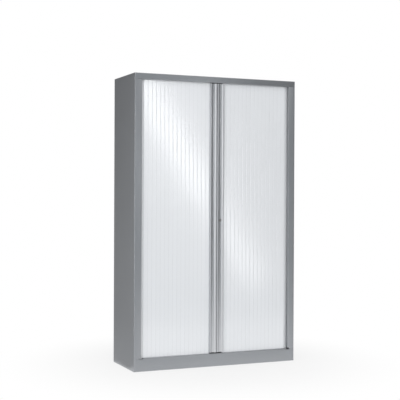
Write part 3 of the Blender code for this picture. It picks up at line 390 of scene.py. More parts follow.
def moulded(name, colour, roughness, grain, depth):
    """Moulded or extruded plastic with a fine grain."""
    surface = Surface(name)
    fine = surface.noise(grain, 3)
    cloud = surface.noise(6, 2)
    tone = surface.mix(cloud * 0.5 + fine * 0.5, shade(colour, 0.9), shade(colour, 1.12))
    return surface.finish(
        base_color=tone,
        roughness=roughness + fine * 0.08,
        normal=surface.bump(fine, depth),
    )


def plated(name, colour, roughness, stretch):
    """Plated metal with faint turning or polishing marks."""
    surface = Surface(name)
    marks = surface.noise(1, 3, surface.stretched(stretch))
    tone = surface.mix(marks, shade(colour, 0.92), shade(colour, 1.05))
    return surface.finish(
        base_color=tone,
        metallic=1.0,
        roughness=roughness + marks * 0.12,
        normal=surface.bump(marks, 0.00001),
    )


FINISHES = {
    "silver_grey_paint": paint(),
    "white_slat": slat_plastic(),
    "anodised_aluminium": aluminium(),
    "galvanised_steel": galvanised(),
    "track_plastic": moulded("black_track_plastic", (0.045, 0.045, 0.048), 0.36, 1500, 0.00002),
    "glide_plastic": moulded("black_glide_plastic", (0.03, 0.03, 0.032), 0.32, 1200, 0.00002),
    "grey_plastic": moulded("grey_moulded_plastic", (0.22, 0.22, 0.23), 0.42, 1100, 0.00004),
    "nickel": plated("brushed_nickel_plate", (0.35, 0.348, 0.345), 0.36, (900, 900, 900)),
    "zinc": plated("bright_zinc_plate", (0.46, 0.47, 0.49), 0.28, (500, 500, 2600)),
}


def put(name, shape):
    """Makes a piece of a bmesh and frees the bmesh."""
    mesh = bpy.data.meshes.new(name)
    shape.to_mesh(mesh)
    shape.free()
    obj = bpy.data.objects.new(name, mesh)
    bpy.context.scene.collection.objects.link(obj)
    return obj


def settled(obj):
    """Takes a piece's modifiers into its mesh."""
    graph = bpy.context.evaluated_depsgraph_get()
    graph.update()
    mesh = bpy.data.meshes.new_from_object(obj.evaluated_get(graph))
    obj.modifiers.clear()
    obj.data = mesh
    return obj


def dress(obj, slot, body, *nodes):
    """Gives a piece its finish and its body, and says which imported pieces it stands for."""
    obj.data.materials.clear()
    obj.data.materials.append(FINISHES[slot])
    obj.data.shade_smooth()
    obj.data.set_sharp_from_angle(angle=SHARP_ANGLE)
    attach(obj, body)
    if nodes:
        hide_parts(*nodes)
    return obj


def lay(axis, a, b, along):
    """World point of section coordinates a, b at a distance along the axis that the section lies across."""
    return Vector({"X": (along, a, b), "Y": (a, along, b), "Z": (a, b, along)}[axis])


AXES = {"X": Vector((1, 0, 0)), "Y": Vector((0, 1, 0)), "Z": Vector((0, 0, 1))}


def skin(axis, path, start, end):
    """Outer skin of a folded sheet: the path drawn out along the axis, with its folds rounded."""
    shape = bmesh.new()
    corners = [shape.verts.new(lay(axis, a, b, start)) for a, b in path]
    for first, second in zip(corners, corners[1:]):
        shape.edges.new((first, second))
    made = bmesh.ops.extrude_edge_only(shape, edges=shape.edges[:])["geom"]
    moved = [item for item in made if isinstance(item, bmesh.types.BMVert)]
    bmesh.ops.translate(shape, vec=AXES[axis] * (end - start), verts=moved)
    folds = [edge for edge in shape.edges if len(edge.link_faces) == 2]
    bmesh.ops.bevel(
        shape,
        geom=folds,
        offset=FOLD_RADIUS,
        offset_type="OFFSET",
        segments=FOLD_STEPS,
        profile=0.5,
        affect="EDGES",
        material=-1,
    )
    return shape


def split(shape, axis, places):
    """Adds edges to a skin where planes across the axis cut it."""
    for place in places:
        geometry = shape.verts[:] + shape.edges[:] + shape.faces[:]
        point = AXES[axis] * place
        bmesh.ops.bisect_plane(
            shape, geom=geometry, plane_co=point, plane_no=AXES[axis], dist=SPLIT_MERGE
        )


def cut_out(shape, low, high):
    """Deletes the faces of a skin whose middle lies in a box."""
    gone = [
        face
        for face in shape.faces
        if all(lo < part < hi for lo, part, hi in zip(low, face.calc_center_median(), high))
    ]
    bmesh.ops.delete(shape, geom=gone, context="FACES")


def face_out(shape, inside):
    """Turns a skin's faces away from a point inside the cabinet."""
    bmesh.ops.recalc_face_normals(shape, faces=shape.faces[:])
    face = max(shape.faces, key=lambda item: item.calc_area())
    if (face.calc_center_median() - Vector(inside)).dot(face.normal) < 0:
        bmesh.ops.reverse_faces(shape, faces=shape.faces[:])


def folded_sheet(name, shape, inside, body, node):
    """Gives a skin its thickness on the inside and breaks its cut edges."""
    face_out(shape, inside)
    obj = put(name, shape)
    solid = obj.modifiers.new("sheet", "SOLIDIFY")
    solid.thickness = SHEET
    solid.offset = -1
    solid.use_even_offset = True
    edge = obj.modifiers.new("edges", "BEVEL")
    edge.width = EDGE_BREAK
    edge.segments = 2
    edge.limit_method = "ANGLE"
    edge.angle_limit = EDGE_BREAK_ANGLE
    settled(obj)
    return dress(obj, "silver_grey_paint", body, node)


def side_panels():
    """Side, front jamb with its return, and rear flange, folded from one sheet, with the corner notch."""
    deep = FRONT + JAMB_RETURN + SEAT
    rear = (FRONT + BACK) / 2
    for side, hand in ((-1, "left"), (1, "right")):
        path = [
            (side * (HALF_WIDTH - REAR_FLANGE), BACK),
            (side * HALF_WIDTH, BACK),
            (side * HALF_WIDTH, FRONT),
            (side * JAMB_EDGE, FRONT),
            (side * JAMB_EDGE, FRONT + JAMB_RETURN),
        ]
        shape = skin("Z", path, 0, HEIGHT)
        split(shape, "Z", (JAMB_FOOT + SEAT, PLINTH_FACE + NOTCH_RISE, HEADER_LEVEL - SEAT))
        edge = HALF_WIDTH - FOLD_RADIUS
        split(shape, "X", (side * edge, side * (JAMB_EDGE + NOTCH_JAMB)))
        x = sorted((side * (JAMB_EDGE - SEAT), side * edge))
        front = FRONT - SEAT
        for low, high in ((-SEAT, JAMB_FOOT + SEAT), (HEADER_LEVEL - SEAT, HEIGHT + SEAT)):
            cut_out(shape, (x[0], front, low), (x[1], deep, high))
        x = sorted((side * (JAMB_EDGE - SEAT), side * (JAMB_EDGE + NOTCH_JAMB)))
        cut_out(shape, (x[0], front, JAMB_FOOT), (x[1], deep, PLINTH_FACE + NOTCH_RISE))
        folded_sheet(f"{hand}_side_skin", shape, (0, rear, HEIGHT / 2), "cabinet", f"{hand}_side_panel")


def top_panel():
    """Top with its header and rear flange. The folds stop short of the side panels' folds."""
    path = [
        (BACK_SKIN, HEIGHT - TOP_REAR_FLANGE),
        (BACK_SKIN, HEIGHT),
        (FRONT, HEIGHT),
        (FRONT, HEADER_LEVEL),
        (FRONT + JAMB_RETURN, HEADER_LEVEL),
        (FRONT + JAMB_RETURN, HEADER_LEVEL + HEADER_LIP),
    ]
    shape = skin("X", path, -INSIDE_X, INSIDE_X)
    split(shape, "X", (-BETWEEN_FOLDS_X, BETWEEN_FOLDS_X))
    corner = FOLD_RADIUS + SEAT
    split(shape, "Y", (FRONT + corner, BACK - corner))
    low, high = HEADER_LEVEL - SEAT, HEIGHT + SEAT
    for side in (-1, 1):
        x = sorted((side * BETWEEN_FOLDS_X, side * HALF_WIDTH))
        cut_out(shape, (x[0], FRONT - SEAT, low), (x[1], FRONT + corner, high))
        cut_out(shape, (x[0], BACK - corner, low), (x[1], BACK, high))
        cut_out(shape, (x[0], FRONT - SEAT, low), (x[1], FRONT + 2 * JAMB_RETURN, HEIGHT - corner))
    folded_sheet("top_skin", shape, (0, 0, HEIGHT / 2), "cabinet", "top_panel")


def front_plinth():
    """Plinth with the ledge under the doors and its foot flange, cut away at the corner notches."""
    ledge = FRONT + LEDGE_DEPTH
    path = [
        (ledge, PLINTH_FACE - LEDGE_LIP),
        (ledge, PLINTH_FACE),
        (FRONT, PLINTH_FACE),
        (FRONT, 0),
        (FRONT + FOOT_FLANGE, 0),
    ]
    shape = skin("X", path, -BETWEEN_FOLDS_X, BETWEEN_FOLDS_X)
    inner, outer = JAMB_EDGE - NOTCH_OPENING, JAMB_EDGE + NOTCH_JAMB
    split(shape, "X", (-outer, -inner, inner, outer))
    split(shape, "Z", (PLINTH_FACE - NOTCH_DROP, JAMB_FOOT))
    for side in (-1, 1):
        for near, far, low in ((inner, outer, PLINTH_FACE - NOTCH_DROP), (outer, HALF_WIDTH, JAMB_FOOT)):
            x = sorted((side * near, side * far))
            cut_out(shape, (x[0], FRONT - SEAT, low), (x[1], ledge + SEAT, PLINTH_FACE + SEAT))
    folded_sheet("plinth_skin", shape, (0, 0, PLINTH_FACE / 2), "cabinet", "front_plinth")


def arc(centre, radius, start, end, steps):
    """Points of an arc, both ends with it."""
    points = []
    for step in range(steps + 1):
        angle = start + (end - start) * step / steps
        points.append((centre[0] + radius * math.cos(angle), centre[1] + radius * math.sin(angle)))
    return points


def prism(shape, axis, loops, start, end):
    """Adds a closed section, with any holes after its outline, drawn out along an axis."""
    edges = []
    for loop in loops:
        corners = [shape.verts.new(lay(axis, a, b, start)) for a, b in loop]
        for first, second in zip(corners, corners[1:] + corners[:1]):
            edges.append(shape.edges.new((first, second)))
    filled = bmesh.ops.triangle_fill(shape, edges=edges, use_beauty=True)["geom"]
    faces = [item for item in filled if isinstance(item, bmesh.types.BMFace)]
    grown = bmesh.ops.extrude_face_region(shape, geom=faces, use_keep_orig=True)["geom"]
    moved = [item for item in grown if isinstance(item, bmesh.types.BMVert)]
    bmesh.ops.translate(shape, vec=AXES[axis] * (end - start), verts=moved)
    return moved


def run_place(distance):
    """Point of the right-hand run at a distance from the cabinet's middle along the slats' middle line."""
    past = distance - TURN_X
    if past <= 0:
        return Vector((distance, FRONT_RUN))
    if past <= QUARTER:
        angle = -math.pi / 2 + past / TURN_RADIUS
        return Vector((TURN_X, TURN_Y)) + TURN_RADIUS * Vector((math.cos(angle), math.sin(angle)))
    return Vector((SIDE_RUN, TURN_Y + past - QUARTER))


def pivots():
    """Bead centres of the right-hand curtain: each lies one pitch from the last, on the run."""
    distance = FIRST_PIVOT
    places = [run_place(distance)]
    for _ in range(SLAT_COUNT):
        near, far = distance, distance + 2 * SLAT_PITCH
        for _ in range(HALVINGS):
            distance = (near + far) / 2
            if (run_place(distance) - places[-1]).length < SLAT_PITCH:
                near = distance
            else:
                far = distance
        places.append(run_place(distance))
    return places


def bead_section(reach):
    """Outline of a bead round the origin and of its neck, up to a distance from it."""
    neck = math.asin(NECK_HALF / BEAD_RADIUS)
    outline = [(reach, -NECK_HALF)]
    outline += arc((0, 0), BEAD_RADIUS, 2 * math.pi - neck, neck, 2 * SLAT_STEPS)
    outline.append((reach, NECK_HALF))
    return outline


def slat_section(length):
    """Outline of one slat, flat, after its neck: socket one length away, visible face on +v."""
    front_round = LIP_ROUND
    up = math.pi / 2
    start, end = SHOULDER + front_round, length + LIP_REACH - front_round
    outline = arc((start, SLAT_HALF - front_round), front_round, 2 * up, up, LIP_STEPS)
    for step in range(1, CROWN_STEPS):
        share = step / CROWN_STEPS
        outline.append((start + (end - start) * share, SLAT_HALF + SLAT_CROWN * (1 - (2 * share - 1) ** 2)))
    outline += arc((end, SLAT_HALF - front_round), front_round, up, 0, LIP_STEPS)
    rear_lip = 2 * math.pi + REAR_LIP_ANGLE
    outline += arc((length, 0), SOCKET_RADIUS, FRONT_LIP_ANGLE, rear_lip, 3 * SLAT_STEPS)
    join = math.pi - math.asin(UNDER_SKIN / SLAT_HALF)
    outline += arc((length, 0), SLAT_HALF, rear_lip, join, 2 * SLAT_STEPS)
    shoulder_end = SHOULDER + SHOULDER_LENGTH
    outline += [(shoulder_end, UNDER_SKIN), (shoulder_end, -NECK_HALF)]
    return outline


def on_run(section, bead, along, side):
    """Places a flat outline on a curtain: its bead and the way to the next one are given."""
    out = Vector((along.y, -along.x))
    points = [bead + along * u + out * v for u, v in section]
    return [(side * point.x, point.y) for point in points]


def curtains():
    """Each slat is a closed body of its own, hooked over the bead of the next.

    The first bead sits in the handle and moves with it.
    """
    places = pivots()
    chance = random.Random(SEED)
    for side, hand in ((-1, "left"), (1, "right")):
        low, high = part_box(f"{hand}_curtain")
        shape = bmesh.new()
        tone = shape.verts.layers.float.new("slat_tone")
        joint = shape.verts.layers.float.new("slat_joint_painted_shade")
        for bead, socket in zip(places, places[1:]):
            along = (socket - bead).normalized()
            lean = chance.uniform(-SLAT_TWIST, SLAT_TWIST)
            along = Vector((along.x - lean * along.y, along.y + lean * along.x)).normalized()
            out = Vector((along.y, -along.x))
            neck = [(SHOULDER, -NECK_HALF)] if bead is places[0] else bead_section(SHOULDER)
            section = on_run(neck + slat_section((socket - bead).length), bead, along, side)
            before = len(shape.verts)
            prism(shape, "Z", [section], low.z, high.z)
            shape.verts.ensure_lookup_table()
            shade_of_slat = chance.random()
            for vertex in shape.verts[before:]:
                height = (Vector((side * vertex.co.x, vertex.co.y)) - bead).dot(out)
                vertex[tone] = shade_of_slat
                # marks the points below a slat's face, where the joint's painted shade goes
                vertex[joint] = float(height < SLAT_HALF - LIP_ROUND / 2)
        bmesh.ops.recalc_face_normals(shape, faces=shape.faces[:])
        curtain = put(f"{hand}_slats", shape)
        dress(curtain, "white_slat", "cabinet", f"{hand}_curtain")
        slide = next(item for item in frame["joints"] if item["name"] == f"{hand}_door_slide")
        anchor = slide["deforming_nodes"][0]["fixed_end_x_m"]
        travel = slide["range_m"][1]
        keep = 1 - travel / (abs(anchor) - HANDLE_FAR)
        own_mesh(curtain)
        held = bmesh.new()
        section = on_run(bead_section(SHOULDER - SEAT), places[0], Vector((1, 0)), side)
        prism(held, "Z", [section], low.z, high.z)
        bmesh.ops.recalc_face_normals(held, faces=held.faces[:])
        dress(put(f"{hand}_first_bead", held), "white_slat", f"{hand}_door")


def finger_radius():
    """Radius of the finger groove that runs smoothly into both rims."""
    near, far = 0.0, HANDLE_FAR
    for _ in range(HALVINGS):
        radius = (near + far) / 2
        reach = sum(
            math.sqrt(max(0.0, 2 * FINGER_DEPTH * (radius + rim) - FINGER_DEPTH**2)) + rim
            for rim in (NEAR_RIM_RADIUS, FAR_RIM_RADIUS)
        )
        if reach < HANDLE_FAR - HANDLE_NEAR:
            near = radius
        else:
            far = radius
    return radius


def handle_face(wall):
    """Rim, finger groove and rim of the right handle, or the same inside the wall."""
    radius = finger_radius()
    near = (HANDLE_NEAR + NEAR_RIM_RADIUS, HANDLE_CREST + NEAR_RIM_RADIUS)
    far = (HANDLE_FAR - FAR_RIM_RADIUS, HANDLE_CREST + FAR_RIM_RADIUS)
    near_reach = math.sqrt(2 * FINGER_DEPTH * (radius + NEAR_RIM_RADIUS) - FINGER_DEPTH**2)
    centre = (near[0] + near_reach, FINGER_FLOOR - radius)
    near_lean = math.atan2(centre[0] - near[0], near[1] - centre[1])
    far_lean = math.atan2(far[0] - centre[0], far[1] - centre[1])
    up = math.pi / 2
    face = arc(near, NEAR_RIM_RADIUS - wall, -math.pi, -up + near_lean, RIM_STEPS)
    face += arc(centre, radius + wall, up + near_lean, up - far_lean, FINGER_STEPS)[1:-1]
    face += arc(far, FAR_RIM_RADIUS - wall, -up - far_lean, 0, RIM_STEPS)
    return face


def handle_sections():
    """Outline of the right handle with the socket for the first bead, and its hollow."""
    mouth = math.asin(SOCKET_MOUTH_HALF / SOCKET_RADIUS)
    outline = [(HANDLE_NEAR, HANDLE_BACK)] + handle_face(0)
    outline.append((HANDLE_FAR, FRONT_RUN - SOCKET_MOUTH_HALF))
    outline += arc((FIRST_PIVOT, FRONT_RUN), SOCKET_RADIUS, -mouth, -2 * math.pi + mouth, 3 * SLAT_STEPS)
    outline.append((HANDLE_FAR, FRONT_RUN + SOCKET_MOUTH_HALF))
    outline.append((HANDLE_FAR, HANDLE_BACK))
    step = FRONT_RUN - SOCKET_RADIUS - HANDLE_WALL
    back = HANDLE_BACK - HANDLE_WALL
    cavity = [(HANDLE_NEAR + HANDLE_WALL, back)] + handle_face(HANDLE_WALL)
    cavity.append((HANDLE_FAR - HANDLE_WALL, step))
    cavity += [(HANDLE_FAR - SOCKET_BLOCK, level) for level in (step, back)]
    return outline, cavity


def cutter(shape):
    """A closed shape that carve uses up."""
    bmesh.ops.recalc_face_normals(shape, faces=shape.faces[:])
    return put("cutter", shape)


def carve(obj, *tools, operation="DIFFERENCE"):
    """Cuts other shapes out of a piece, or joins them to it, and removes them."""
    for tool in tools:
        cut = obj.modifiers.new("cut", "BOOLEAN")
        cut.operation = operation
        cut.object = tool
    settled(obj)
    for tool in tools:
        bpy.data.objects.remove(tool)


def block(low, high):
    """A box to carve with."""
    shape = bmesh.new()
    bmesh.ops.create_cube(shape, size=1)
    low, high = Vector(low), Vector(high)
    bmesh.ops.scale(shape, vec=high - low, verts=shape.verts)
    bmesh.ops.translate(shape, vec=(low + high) / 2, verts=shape.verts)
    return cutter(shape)


def turned(axis, centre, profile, steps):
    """A turned shape from a profile of radius and place along the axis, closed on its axis or as a ring."""
    shape = bmesh.new()
    across = AXES["X"]
    middle = lay(axis, centre[0], centre[1], 0)
    corners = [shape.verts.new(middle + across * radius + AXES[axis] * along) for radius, along in profile]
    edges = [shape.edges.new(pair) for pair in zip(corners, corners[1:])]
    if profile[0][0] > 0:
        edges.append(shape.edges.new((corners[-1], corners[0])))
    bmesh.ops.spin(
        shape,
        geom=corners + edges,
        cent=middle,
        axis=AXES[axis],
        angle=2 * math.pi,
        steps=steps,
        use_merge=True,
    )
    bmesh.ops.remove_doubles(shape, verts=shape.verts, dist=SPIN_MERGE)
    bmesh.ops.recalc_face_normals(shape, faces=shape.faces[:])
    return shape


def handles():
    """Both drawn profiles, with the hook cam's slot in each and the lock's hole in the right one."""
    loops = handle_sections()
    for side, hand in ((-1, "left"), (1, "right")):
        low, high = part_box(f"{hand}_handle")
        shape = bmesh.new()
        prism(shape, "Z", [[(side * x, y) for x, y in loop] for loop in loops], low.z, high.z)
        bmesh.ops.recalc_face_normals(shape, faces=shape.faces[:])
        obj = put(f"{hand}_handle_profile", shape)
        x = sorted((0, side * (HANDLE_NEAR + 2 * HANDLE_WALL)))
        low, high = zip(x, CAM_SLOT_DEEP, CAM_SLOT_TALL)
        tools = [block(low, high)]
        if side > 0:
            hole = HOUSING_RADIUS + SEAT
            span = (HANDLE_CREST, FINGER_FLOOR + 2 * HANDLE_WALL)
            profile = [(0, span[1]), (hole, span[1]), (hole, span[0]), (0, span[0])]
            tools.append(cutter(turned("Y", lock_place(), profile, LOCK_STEPS)))
        carve(obj, *tools)
        dress(obj, "anodised_aluminium", f"{hand}_door", f"{hand}_handle")


def lock_place():
    """Where the lock's axis runs, across and up."""
    low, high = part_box("lock_housing")
    middle = (low + high) / 2
    return middle.x, middle.z


def lock():
    """Housing ring and barrel, with a fine groove round the plug and its keyhole."""
    low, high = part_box("lock_housing")
    bevel = HOUSING_ROUND
    ring = [
        (HOUSING_BORE, low.y + bevel / 2),
        (HOUSING_BORE + bevel / 2, low.y),
        (HOUSING_RADIUS - bevel, low.y),
        (HOUSING_RADIUS - bevel / 3, low.y + bevel / 3),
        (HOUSING_RADIUS, low.y + bevel),
        (HOUSING_RADIUS, high.y),
        (HOUSING_BORE, high.y),
    ]
    housing = put("lock_ring", turned("Y", lock_place(), ring, LOCK_STEPS))
    dress(housing, "nickel", "right_door", "lock_housing")
    low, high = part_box("lock_barrel")
    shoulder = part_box("lock_housing")[1].y
    groove = PLUG_GROOVE
    profile = [
        (0, low.y),
        (PLUG_RADIUS, low.y),
        (PLUG_RADIUS, low.y + 2 * groove),
        (PLUG_RADIUS + groove, low.y + 2 * groove),
        (PLUG_RADIUS + groove, low.y),
        (BARREL_RADIUS - groove, low.y),
        (BARREL_RADIUS, low.y + groove),
        (BARREL_RADIUS, shoulder),
        (BARREL_TAIL_RADIUS, shoulder),
        (BARREL_TAIL_RADIUS, high.y),
        (0, high.y),
    ]
    barrel = put("lock_cylinder", turned("Y", lock_place(), profile, LOCK_STEPS))
    x, z = lock_place()
    half = (KEYHOLE_WIDTH / 2, KEYHOLE_HEIGHT / 2)
    deep = low.y + KEYHOLE_DEPTH
    proud = low.y - SEAT
    slot = block((x - half[0], proud, z - half[1]), (x + half[0], deep, z + half[1]))
    third = half[1] / 3
    mouth = block((x - 2 * half[0], proud, z - third), (x + half[0] / 2, deep, z + third))
    carve(barrel, slot, mouth)
    dress(barrel, "nickel", "lock", "lock_barrel")


ROUND_SHARES = (0.0, 0.25, 0.5, 0.75, 1.0)  # places of a rounding's points along it


def rounded(path, radius):
    """A profile with each corner between its ends rounded."""
    points = [path[0]]
    for before, corner, after in zip(path, path[1:], path[2:]):
        middle = Vector(corner)
        arms = [Vector(end) - middle for end in (before, after)]
        first, last = (middle + arm * min(0.5, radius / arm.length) for arm in arms)
        for share in ROUND_SHARES:
            near = first.lerp(middle, share)
            points.append(tuple(near.lerp(middle.lerp(last, share), share)))
    points.append(path[-1])
    return points


def threaded_stud(name, body):
    """Stud with rings for its thread, a screwdriver slot above and a hexagon collar on its pad."""
    low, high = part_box(name)
    x, y, _ = (low + high) / 2
    root = STUD_RADIUS - THREAD_DEPTH
    profile = [(0, high.z), (root, high.z)]
    level = high.z - THREAD_PITCH
    while level > low.z + THREAD_START:
        profile += [(root, level), (STUD_RADIUS, level - THREAD_PITCH / 2)]
        level -= THREAD_PITCH
    profile += [(root, level), (STUD_RADIUS, level - THREAD_DEPTH), (STUD_RADIUS, low.z), (0, low.z)]
    stud = put(f"{name}_threaded", turned("Z", (x, y), profile, PAD_STEPS // 2))
    collar = bmesh.new()
    corner = COLLAR_FLATS / math.sqrt(3)
    bmesh.ops.create_cone(
        collar,
        cap_ends=True,
        segments=6,
        radius1=corner,
        radius2=corner,
        depth=COLLAR_HEIGHT,
    )
    bmesh.ops.bevel(
        collar,
        geom=collar.edges[:],
        offset=COLLAR_CHAMFER,
        segments=2,
        profile=0.5,
        affect="EDGES",
        material=-1,
    )
    middle = low.z + STUD_SINK + SEAT + COLLAR_HEIGHT / 2
    bmesh.ops.translate(collar, vec=(x, y, middle), verts=collar.verts)
    carve(stud, cutter(collar), operation="UNION")
    half = STUD_SLOT_WIDTH / 2
    reach = STUD_RADIUS + SEAT
    slot = block((x - reach, y - half, high.z - STUD_SLOT_DEPTH), (x + reach, y + half, high.z + SEAT))
    carve(stud, slot)
    dress(stud, "zinc", body, name)


def foot_pad(name, body):
    """Pad with a hub that holds the stud's foot and a sole set back under it."""
    low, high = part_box(name)
    x, y, _ = (low + high) / 2
    radius = high.x - x
    bore = STUD_RADIUS + STUD_CLEARANCE
    path = [
        (0, high.z - STUD_SINK - SEAT),
        (bore, high.z - STUD_SINK - SEAT),
        (bore, high.z),
        (PAD_HUB, high.z),
        (radius - PAD_RIM, low.z + PAD_RIM + PAD_SHOULDER),
        (radius, low.z + PAD_RIM),
        (radius, low.z),
        (radius - 2 * PAD_RIM, low.z),
        (radius - 2 * PAD_RIM - PAD_SOLE, low.z + PAD_SOLE),
        (0, low.z + PAD_SOLE),
    ]
    pad = put(f"{name}_moulded", turned("Z", (x, y), rounded(path, PAD_ROUND), PAD_STEPS))
    dress(pad, "grey_plastic", body, name)


def access_cap(name):
    """Push-in cap over a leveller, with a notch to prise it out."""
    low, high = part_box(name)
    x, y, _ = (low + high) / 2
    radius = high.x - x
    seat = high.z - CAP_THICKNESS
    inner = CAP_PLUG_RADIUS - CAP_WALL
    path = [
        (0, high.z),
        (radius, high.z),
        (radius, seat),
        (CAP_PLUG_RADIUS, seat),
        (CAP_PLUG_RADIUS, low.z),
        (inner, low.z),
        (inner, seat),
        (0, seat),
    ]
    cap = put(f"{name}_moulded", turned("Z", (x, y), rounded(path, CAP_ROUND), PAD_STEPS))
    half = CAP_NOTCH / 2
    outside, inside = y - radius - SEAT, y - CAP_PLUG_RADIUS - half
    carve(cap, block((x - half, outside, seat - SEAT), (x + half, inside, high.z + SEAT)))
    dress(cap, "grey_plastic", "cabinet", name)


def levellers():
    for hand in ("left", "right"):
        for end in ("front", "rear"):
            name = f"{hand}_{end}"
            threaded_stud(f"{name}_stud", f"{name}_leveller")
            foot_pad(f"{name}_pad", f"{name}_leveller")
            access_cap(f"{name}_access_cap")


def dress_frame():
    """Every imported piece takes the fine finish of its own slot."""
    for row in frame["record"]["subparts"]:
        node = frame["nodes"][row["node"]]
        node.data.materials.clear()
        node.data.materials.append(FINISHES[row["material_slot"]])


FLOOR_HALF = 40.0
STUDIO_WHITE = (1.0, 1.0, 1.0, 1.0)
SHADOW_KEPT = 0.22  # share of the floor's own shading that shows beside the cabinet
FADE_START = 0.3  # from the cabinet's middle, in metres
FADE_END = 1.5


def background_rays(nodes):
    """1 for rays that see the background itself: from the camera, a reflection or a pane, else 0."""
    camera = nodes.node("ShaderNodeLightPath", output="Is Camera Ray")
    glossy = nodes.node("ShaderNodeLightPath", output="Is Glossy Ray")
    through = nodes.node("ShaderNodeLightPath", output="Is Transmission Ray")
    return (camera + glossy + through).kept_below(1.0)


def studio_floor():
    """A pale floor. It fades to the white of the background away from the cabinet's shadow."""
    shape = bmesh.new()
    bmesh.ops.create_grid(shape, x_segments=1, y_segments=1, size=FLOOR_HALF)
    floor = put("studio_floor", shape)
    surface = Surface("pale_floor")
    surface.finish(base_color=(0.80, 0.80, 0.80, 1), roughness=0.9)
    length = {"operation": "LENGTH"}
    away = surface.node("ShaderNodeVectorMath", length, {0: surface.point()}, output="Value")
    reach = {"Value": away, "From Min": FADE_START, "From Max": FADE_END}
    levels = {"To Min": 1 - SHADOW_KEPT, "To Max": 1.0}
    fade = surface.node("ShaderNodeMapRange", {"interpolation_type": "SMOOTHSTEP"}, reach | levels)
    glossy = surface.node("ShaderNodeLightPath", output="Is Glossy Ray")
    white = {"Color": STUDIO_WHITE, "Strength": 1.0}
    glow = surface.node("ShaderNodeEmission", {}, white, output="Emission")
    mixed = surface.tree.nodes.new("ShaderNodeMixShader")
    surface.feed(mixed.inputs["Fac"], (background_rays(surface) * fade).floor_at(glossy))
    surface.tree.links.new(surface.shader.outputs["BSDF"], mixed.inputs[1])
    surface.tree.links.new(glow.socket, mixed.inputs[2])
    surface.tree.links.new(mixed.outputs[0], surface.tree.nodes["Material Output"].inputs["Surface"])
    floor.data.materials.append(surface.material)


def direction(azimuth, elevation):
    """Unit vector: azimuth 0 looks from the cabinet towards -Y, and grows towards +X."""
    a, e = math.radians(azimuth), math.radians(elevation)
    return Vector((math.sin(a) * math.cos(e), -math.cos(a) * math.cos(e), math.sin(e)))


AMBIENT = 0.25
LOBES = (  # towards, strength, sharpness of the light that the surroundings give
    (direction(-25, 12), 1.72, 2),
    (direction(180, 20), 0.30, 2),
)


def studio_walls():
    """Soft light from all round, strongest in front on the left, before a white background."""
    world = bpy.data.worlds.new("studio")
    bpy.context.scene.world = world
    world.use_nodes = True
    nodes = Nodes(world.node_tree)
    ray = nodes.node("ShaderNodeTexCoord", output="Generated")
    level = AMBIENT
    product = {"operation": "DOT_PRODUCT"}
    for towards, strength, sharpness in LOBES:
        dot = nodes.node("ShaderNodeVectorMath", product, {0: ray, 1: towards}, output="Value")
        level = dot.floor_at(0.0) ** sharpness * strength + level
    seen = background_rays(nodes)
    background = world.node_tree.nodes["Background"]
    background.inputs["Color"].default_value = STUDIO_WHITE
    nodes.feed(background.inputs["Strength"], seen + (1 - seen) * level)


SHADE_TOP = 2.4  # height from which a screen keeps its upper tone
GREY = (1.0, 1.0, 1.0)
COOL_GREY = (0.94, 1.0, 1.05)


def screen(name, corners, foot, top, tint=GREY, bend=1):
    """A grey screen of the studio, with its tones at the foot and from SHADE_TOP up.

    A bend above 1 keeps the foot's tone further up. Only reflections show the screen, so other views
    and shadows are free of it.
    """
    shape = bmesh.new()
    outline = [shape.verts.new(corner) for corner in corners]
    shape.faces.new(outline)
    cloth = put(name, shape)
    surface = Surface(name)
    height = surface.node("ShaderNodeSeparateXYZ", {}, {"Vector": surface.point()}, output="Z")
    share = (height * (1 / SHADE_TOP)).kept_below(1.0) ** bend
    surface.finish(
        base_color=(0, 0, 0, 1),
        specular_ior_level=0.0,
        emission_color=surface.mix(share, shade(tint, foot), shade(tint, top)),
        emission_strength=1.0,
    )
    cloth.data.materials.append(surface.material)
    cloth.visible_camera = False
    cloth.visible_diffuse = False
    cloth.visible_shadow = False


STRIP_TOP = Vector((0.74, -4.0, 2.5))
STRIP_FOOT = Vector((2.27, -4.0, 0.17))
STRIP_WIDTH = 0.30
STRIP_SPLIT_SHARE = 0.575
STRIP_PARTS = (  # name, first and last share of the strip, radiance
    ("strip_upper", 0, STRIP_SPLIT_SHARE, 4.7),
    ("strip_lower", STRIP_SPLIT_SHARE, 1, 3.0),
)
SCREEN_TOP = 4.0
SCREEN_BEHIND_STRIP = 0.1
STUDIO_LEFT, STUDIO_RIGHT = -6.0, 4.2
STUDIO_FRONT, STUDIO_REAR = -4.6, 4.0
FRONT_LEFT_END = 2.5  # the left one of the front screens reaches this far behind the strip
OUTER_SCREEN_X = -5.0
OUTER_SCREEN_HALF = 3.0
REAR_SCREEN = ((-1.9, 0.8), (0.2, 2.4))
MAT_LEVEL = 0.002
FRONT_MAT = ((-3.0, STUDIO_FRONT), (STUDIO_RIGHT, -2.2))
# painted shade of the floor at the rear left, beside the cabinet, seen in reflections
REAR_FLOOR_SHADE = ((-2.4, -0.1), (-0.61, 2.4))


def upright(start, end):
    """Corners of a screen that stands between two places on the floor."""
    return [(*start, 0), (*end, 0), (*end, SCREEN_TOP), (*start, SCREEN_TOP)]


def laid(low, high):
    """Corners of a screen that lies on the floor between two of its corners."""
    return [(x, y, MAT_LEVEL) for x, y in (low, (high[0], low[1]), high, (low[0], high[1]))]


